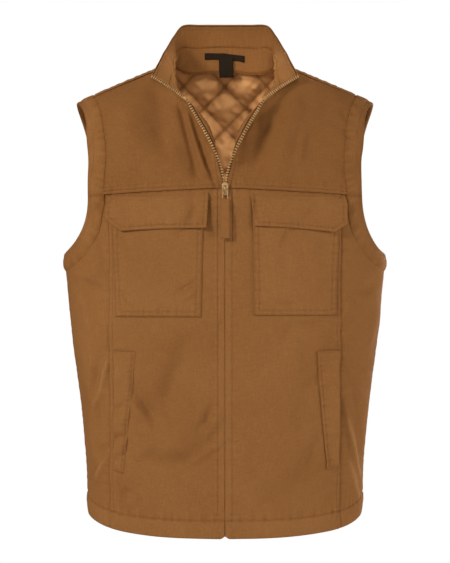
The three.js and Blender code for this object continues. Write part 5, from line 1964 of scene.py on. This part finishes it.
# Rows of stitching, laid on the pieces that they sew


def front_row(name, side, places):
    return (name, *on_front(side * places[:, 0], places[:, 1]))


def panel_rows(side, word):
    """Along the yoke seam, the zip, the side seam and the hem of one front."""
    x = np.linspace(8, 196, 120)
    yoke = on_front(side * x, yoke_z(x) + YOKE_ROW)
    z = np.linspace(-690, -199, 200)
    by_zip = on_front(side * (FRONT_GAP + ZIP_ROW) + 0 * z, z)
    by_side = on_front(side * (SIDE_SEAM_X - SIDE_ROW) + 0 * z, z)
    x = np.linspace(FRONT_GAP + 2, SIDE_SEAM_X - 1, 110)
    hem = on_front(side * x, hem_z(x) + HEM_BAND)
    below = [("front_panel_" + word, *row) for row in (by_zip, by_side, hem)]
    return [("front_yoke_" + word, *yoke)] + below


def edge_row(side, word):
    rows = [YokeRow(t * EDGE_SHARE, side).at([EDGE_ROW]) for t in np.linspace(0.02, 0.99, 90)]
    return ("front_yoke_" + word, *(np.array([row[k][0] for row in rows]) for k in range(2)))


def pocket_row(side, word, inset):
    size = POCKETS[side]
    t = np.linspace(1, 0, 70)
    inner, outer = pocket_edges(size, t)
    z = mix(size["foot"], size["top"], t)
    above = z > size["foot"] + inset
    x = np.linspace(size["inner_foot"] + inset, size["outer_foot"] - inset, 60)
    places = [
        np.stack([inner[above] + inset, z[above]], -1),
        np.stack([x, 0 * x + size["foot"] + inset], -1),
        np.stack([outer[above] - inset, z[above]], -1)[::-1],
    ]
    return front_row("chest_pocket_" + word, side, np.concatenate(places))


def flap_row(side, word):
    size = FLAPS[side]
    t = np.linspace(0.9, 0, 30)
    inner = mix(size["inner_foot"], size["inner"], t) + FLAP_ROW
    down = np.stack([inner, mix(size["foot_inner"] + FLAP_ROW, -199, t)], -1)
    x = np.linspace(size["inner_foot"] + FLAP_ROW, size["outer"] - FLAP_ROW, 80)
    foot = np.stack([x, flap_foot(size, np.minimum(x + 2, size["outer"])) + FLAP_ROW + 0.5], -1)
    up = np.stack([np.full(24, x[-1]), np.linspace(foot[-1, 1], -206, 24)], -1)
    return front_row("pocket_flap_" + word, side, np.concatenate([down, foot, up]))


def welt_row(side, word):
    size = WELTS[side]
    t = np.linspace(0.985, 0.015, 80)
    x = size["outer"] - mix(size["narrow"], size["wide"], t) + WELT_ROW
    down = np.stack([x, mix(size["foot"], size["top"], t)], -1)[2:-2]
    top = np.stack([np.linspace(size["outer"] - 2, x[0], 14), np.full(14, size["top"] - 3.0)], -1)
    foot = np.stack([np.linspace(x[-1], size["outer"] - 2, 8), size["foot"] + np.linspace(4, 8, 8)], -1)
    return front_row("hand_pocket_welt_" + word, side, np.concatenate([top, down, foot]))


def side_rows(side, word):
    """Along the hem of the side panel, round the armhole band and along the yoke's line on it."""
    flip = mirror(side)
    seam_angle = float(angle_at(SIDE_SEAM_X, hem_z(SIDE_SEAM_X)))
    angle = np.linspace(seam_angle + 0.01, math.pi / 2 - 0.01, 60)
    p, n = ring(angle, hem_z(hem_x(angle)) + HEM_BAND)
    rows = [("side_panel_" + word, p * flip, n * flip)]
    turn = np.linspace(0.02, 0.98, 230)
    seam, edge = armhole("seam", turn), armhole("edge", turn)
    y, z = (mix(seam[k], edge[k], BAND_ROW) for k in (1, 2))
    p = np.stack([body_x(y, z, seam[3]), y, z], -1)
    rows.append(("armhole_band_" + word, p * flip, body_normal(p, seam[3]) * flip))
    x = np.linspace(180, 222, 30)
    rows.append(("armhole_band_" + word, *on_front(side * x, yoke_z(x) + YOKE_ROW)))
    return rows


def back_rows(side):
    """Beside the side seam and the shoulder seam of the back."""
    by_side = ring(np.full(130, math.pi / 2 + 0.05), np.linspace(-684, ARMPIT_Z - 3, 130))
    angle = back_edges(0)[1](np.linspace(NECK_SHARE + 0.01, 0.99, 70))[0]
    by_shoulder = wrapped(angle, np.full(70, OVER_RUN - 6.0))
    return [("back_panel", p * mirror(side), n * mirror(side)) for p, n in (by_side, by_shoulder)]


def stitch_rows(side):
    """Every row on one side of the middle, as (piece, points, upward directions)."""
    word = SIDE_WORD[side]
    rows = panel_rows(side, word) + [edge_row(side, word)]
    rows += [pocket_row(side, word, inset) for inset in POCKET_ROWS]
    rows += [flap_row(side, word), welt_row(side, word)]
    return rows + side_rows(side, word) + back_rows(side)


def middle_rows():
    """Rows that cross the middle: the back hem and both faces of the collar."""
    angle = np.linspace(math.pi / 2 + 0.03, math.pi, 130)
    half = ring(angle, hem_z(hem_x(angle)) + HEM_BAND)
    rows = [("back_panel", *(np.concatenate([v, v[::-1] * mirror(-1)]) for v in half))]
    f = np.linspace(-0.97, 0.97, 300)
    for name, share, out in (("collar_outer", 0.926, 1), ("collar_facing", 0.919, -1)):
        p, n, _, _, _ = collar_grid(f, np.array([share - 0.02, share, share + 0.02]))
        rows.append((name, p[1], n[1] * out))
    return rows


CLOTHS = {name: Cloth(thing) for name, thing in MADE.items() if name.split("_")[0] not in ("lining", "zip")}
laid = []
for name, p, n in stitch_rows(1) + stitch_rows(-1) + middle_rows():
    laid += CLOTHS[name].lay(p, n)
stitches = repeated("topstitching", laid, STITCH, THREAD)
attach(stitches, "vest")

# Stage


def aim(thing, at):
    way = Vector(at) - thing.location
    thing.rotation_euler = way.to_track_quat("-Z", "Y").to_euler()


def add_light(name, data, place_at, at, power, colour):
    data.energy = power
    data.color = colour
    light = in_scene(name, data)
    light.location = place_at
    aim(light, at)


# Soft lights: name, place, width, power and colour
MIDDLE = (0, 0, -0.33)
SOFT_LIGHTS = [
    ("key", (-2.1, -2.0, 0.9), 0.7, 69, (1, 0.98, 0.95)),
    ("front", (0.0, -3.0, 0.1), 0.9, 13, (1, 0.99, 0.98)),
    ("fill", (3.0, -1.0, -0.15), 1.2, 46, (1, 0.99, 0.98)),
    ("top", (0.1, 0.4, 1.9), 1.6, 7, (1, 1, 1)),
    ("behind", (1.5, 2.3, 0.3), 1.4, 62, (1, 0.99, 0.97)),
]
for name, place_at, width, power, colour in SOFT_LIGHTS:
    disc = bpy.data.lights.new(name, "AREA")
    disc.shape = "DISK"
    disc.size = width
    add_light(name, disc, place_at, MIDDLE, power, colour)

# A narrow beam through the open neck, on the lining of the back
beam = bpy.data.lights.new("neck", "SPOT")
beam.spot_size = math.radians(20)
beam.spot_blend = 0.7
beam.shadow_soft_size = 0.05
add_light("neck", beam, (0.07, -0.55, 0.45), (0, 0.11, -0.1), 13.5, (1, 0.98, 0.94))

FLOOR_Z = -1.25
bpy.ops.mesh.primitive_circle_add(vertices=64, radius=2.4, fill_type="NGON", location=(0, 0, 0))
floor = bpy.context.object
floor.name = "floor"
for corner in floor.data.vertices:
    corner.co.z = FLOOR_Z
ground, _, ground_shader = finish("pale_floor", 0.9, 0.1)
ground_shader.inputs["Base Color"].default_value = (0.85, 0.85, 0.85, 1)
floor.data.materials.append(ground)

world = bpy.data.worlds.new("bright_room")
world.use_nodes = True
bpy.context.scene.world = world
sky = world.node_tree
sky.nodes.clear()
sky_out = sky.nodes.new("ShaderNodeOutputWorld")
seen_sky = sky.nodes.new("ShaderNodeBackground")
seen_sky.inputs["Color"].default_value = (1, 1, 1, 1)
lit_sky = sky.nodes.new("ShaderNodeBackground")
lit_sky.inputs["Color"].default_value = (1, 0.88, 0.72, 1)
lit_sky.inputs["Strength"].default_value = 0.19
chosen = sky.nodes.new("ShaderNodeMixShader")
rays = sky.nodes.new("ShaderNodeLightPath")
sky.links.new(rays.outputs["Is Camera Ray"], chosen.inputs[0])
sky.links.new(lit_sky.outputs[0], chosen.inputs[1])
sky.links.new(seen_sky.outputs[0], chosen.inputs[2])
sky.links.new(chosen.outputs[0], sky_out.inputs[0])

CAMERA_PLACE = (0, -2.6, -0.333)
LENS = 106.57
SENSOR = 36
lens = bpy.data.cameras.new("photo_view")
lens.lens = LENS
lens.sensor_width = SENSOR
camera = in_scene("photo_view", lens)
camera.location = CAMERA_PLACE
camera.rotation_euler = (math.pi / 2, 0, 0)
bpy.context.scene.camera = camera
bpy.context.scene.view_settings.view_transform = "Standard"
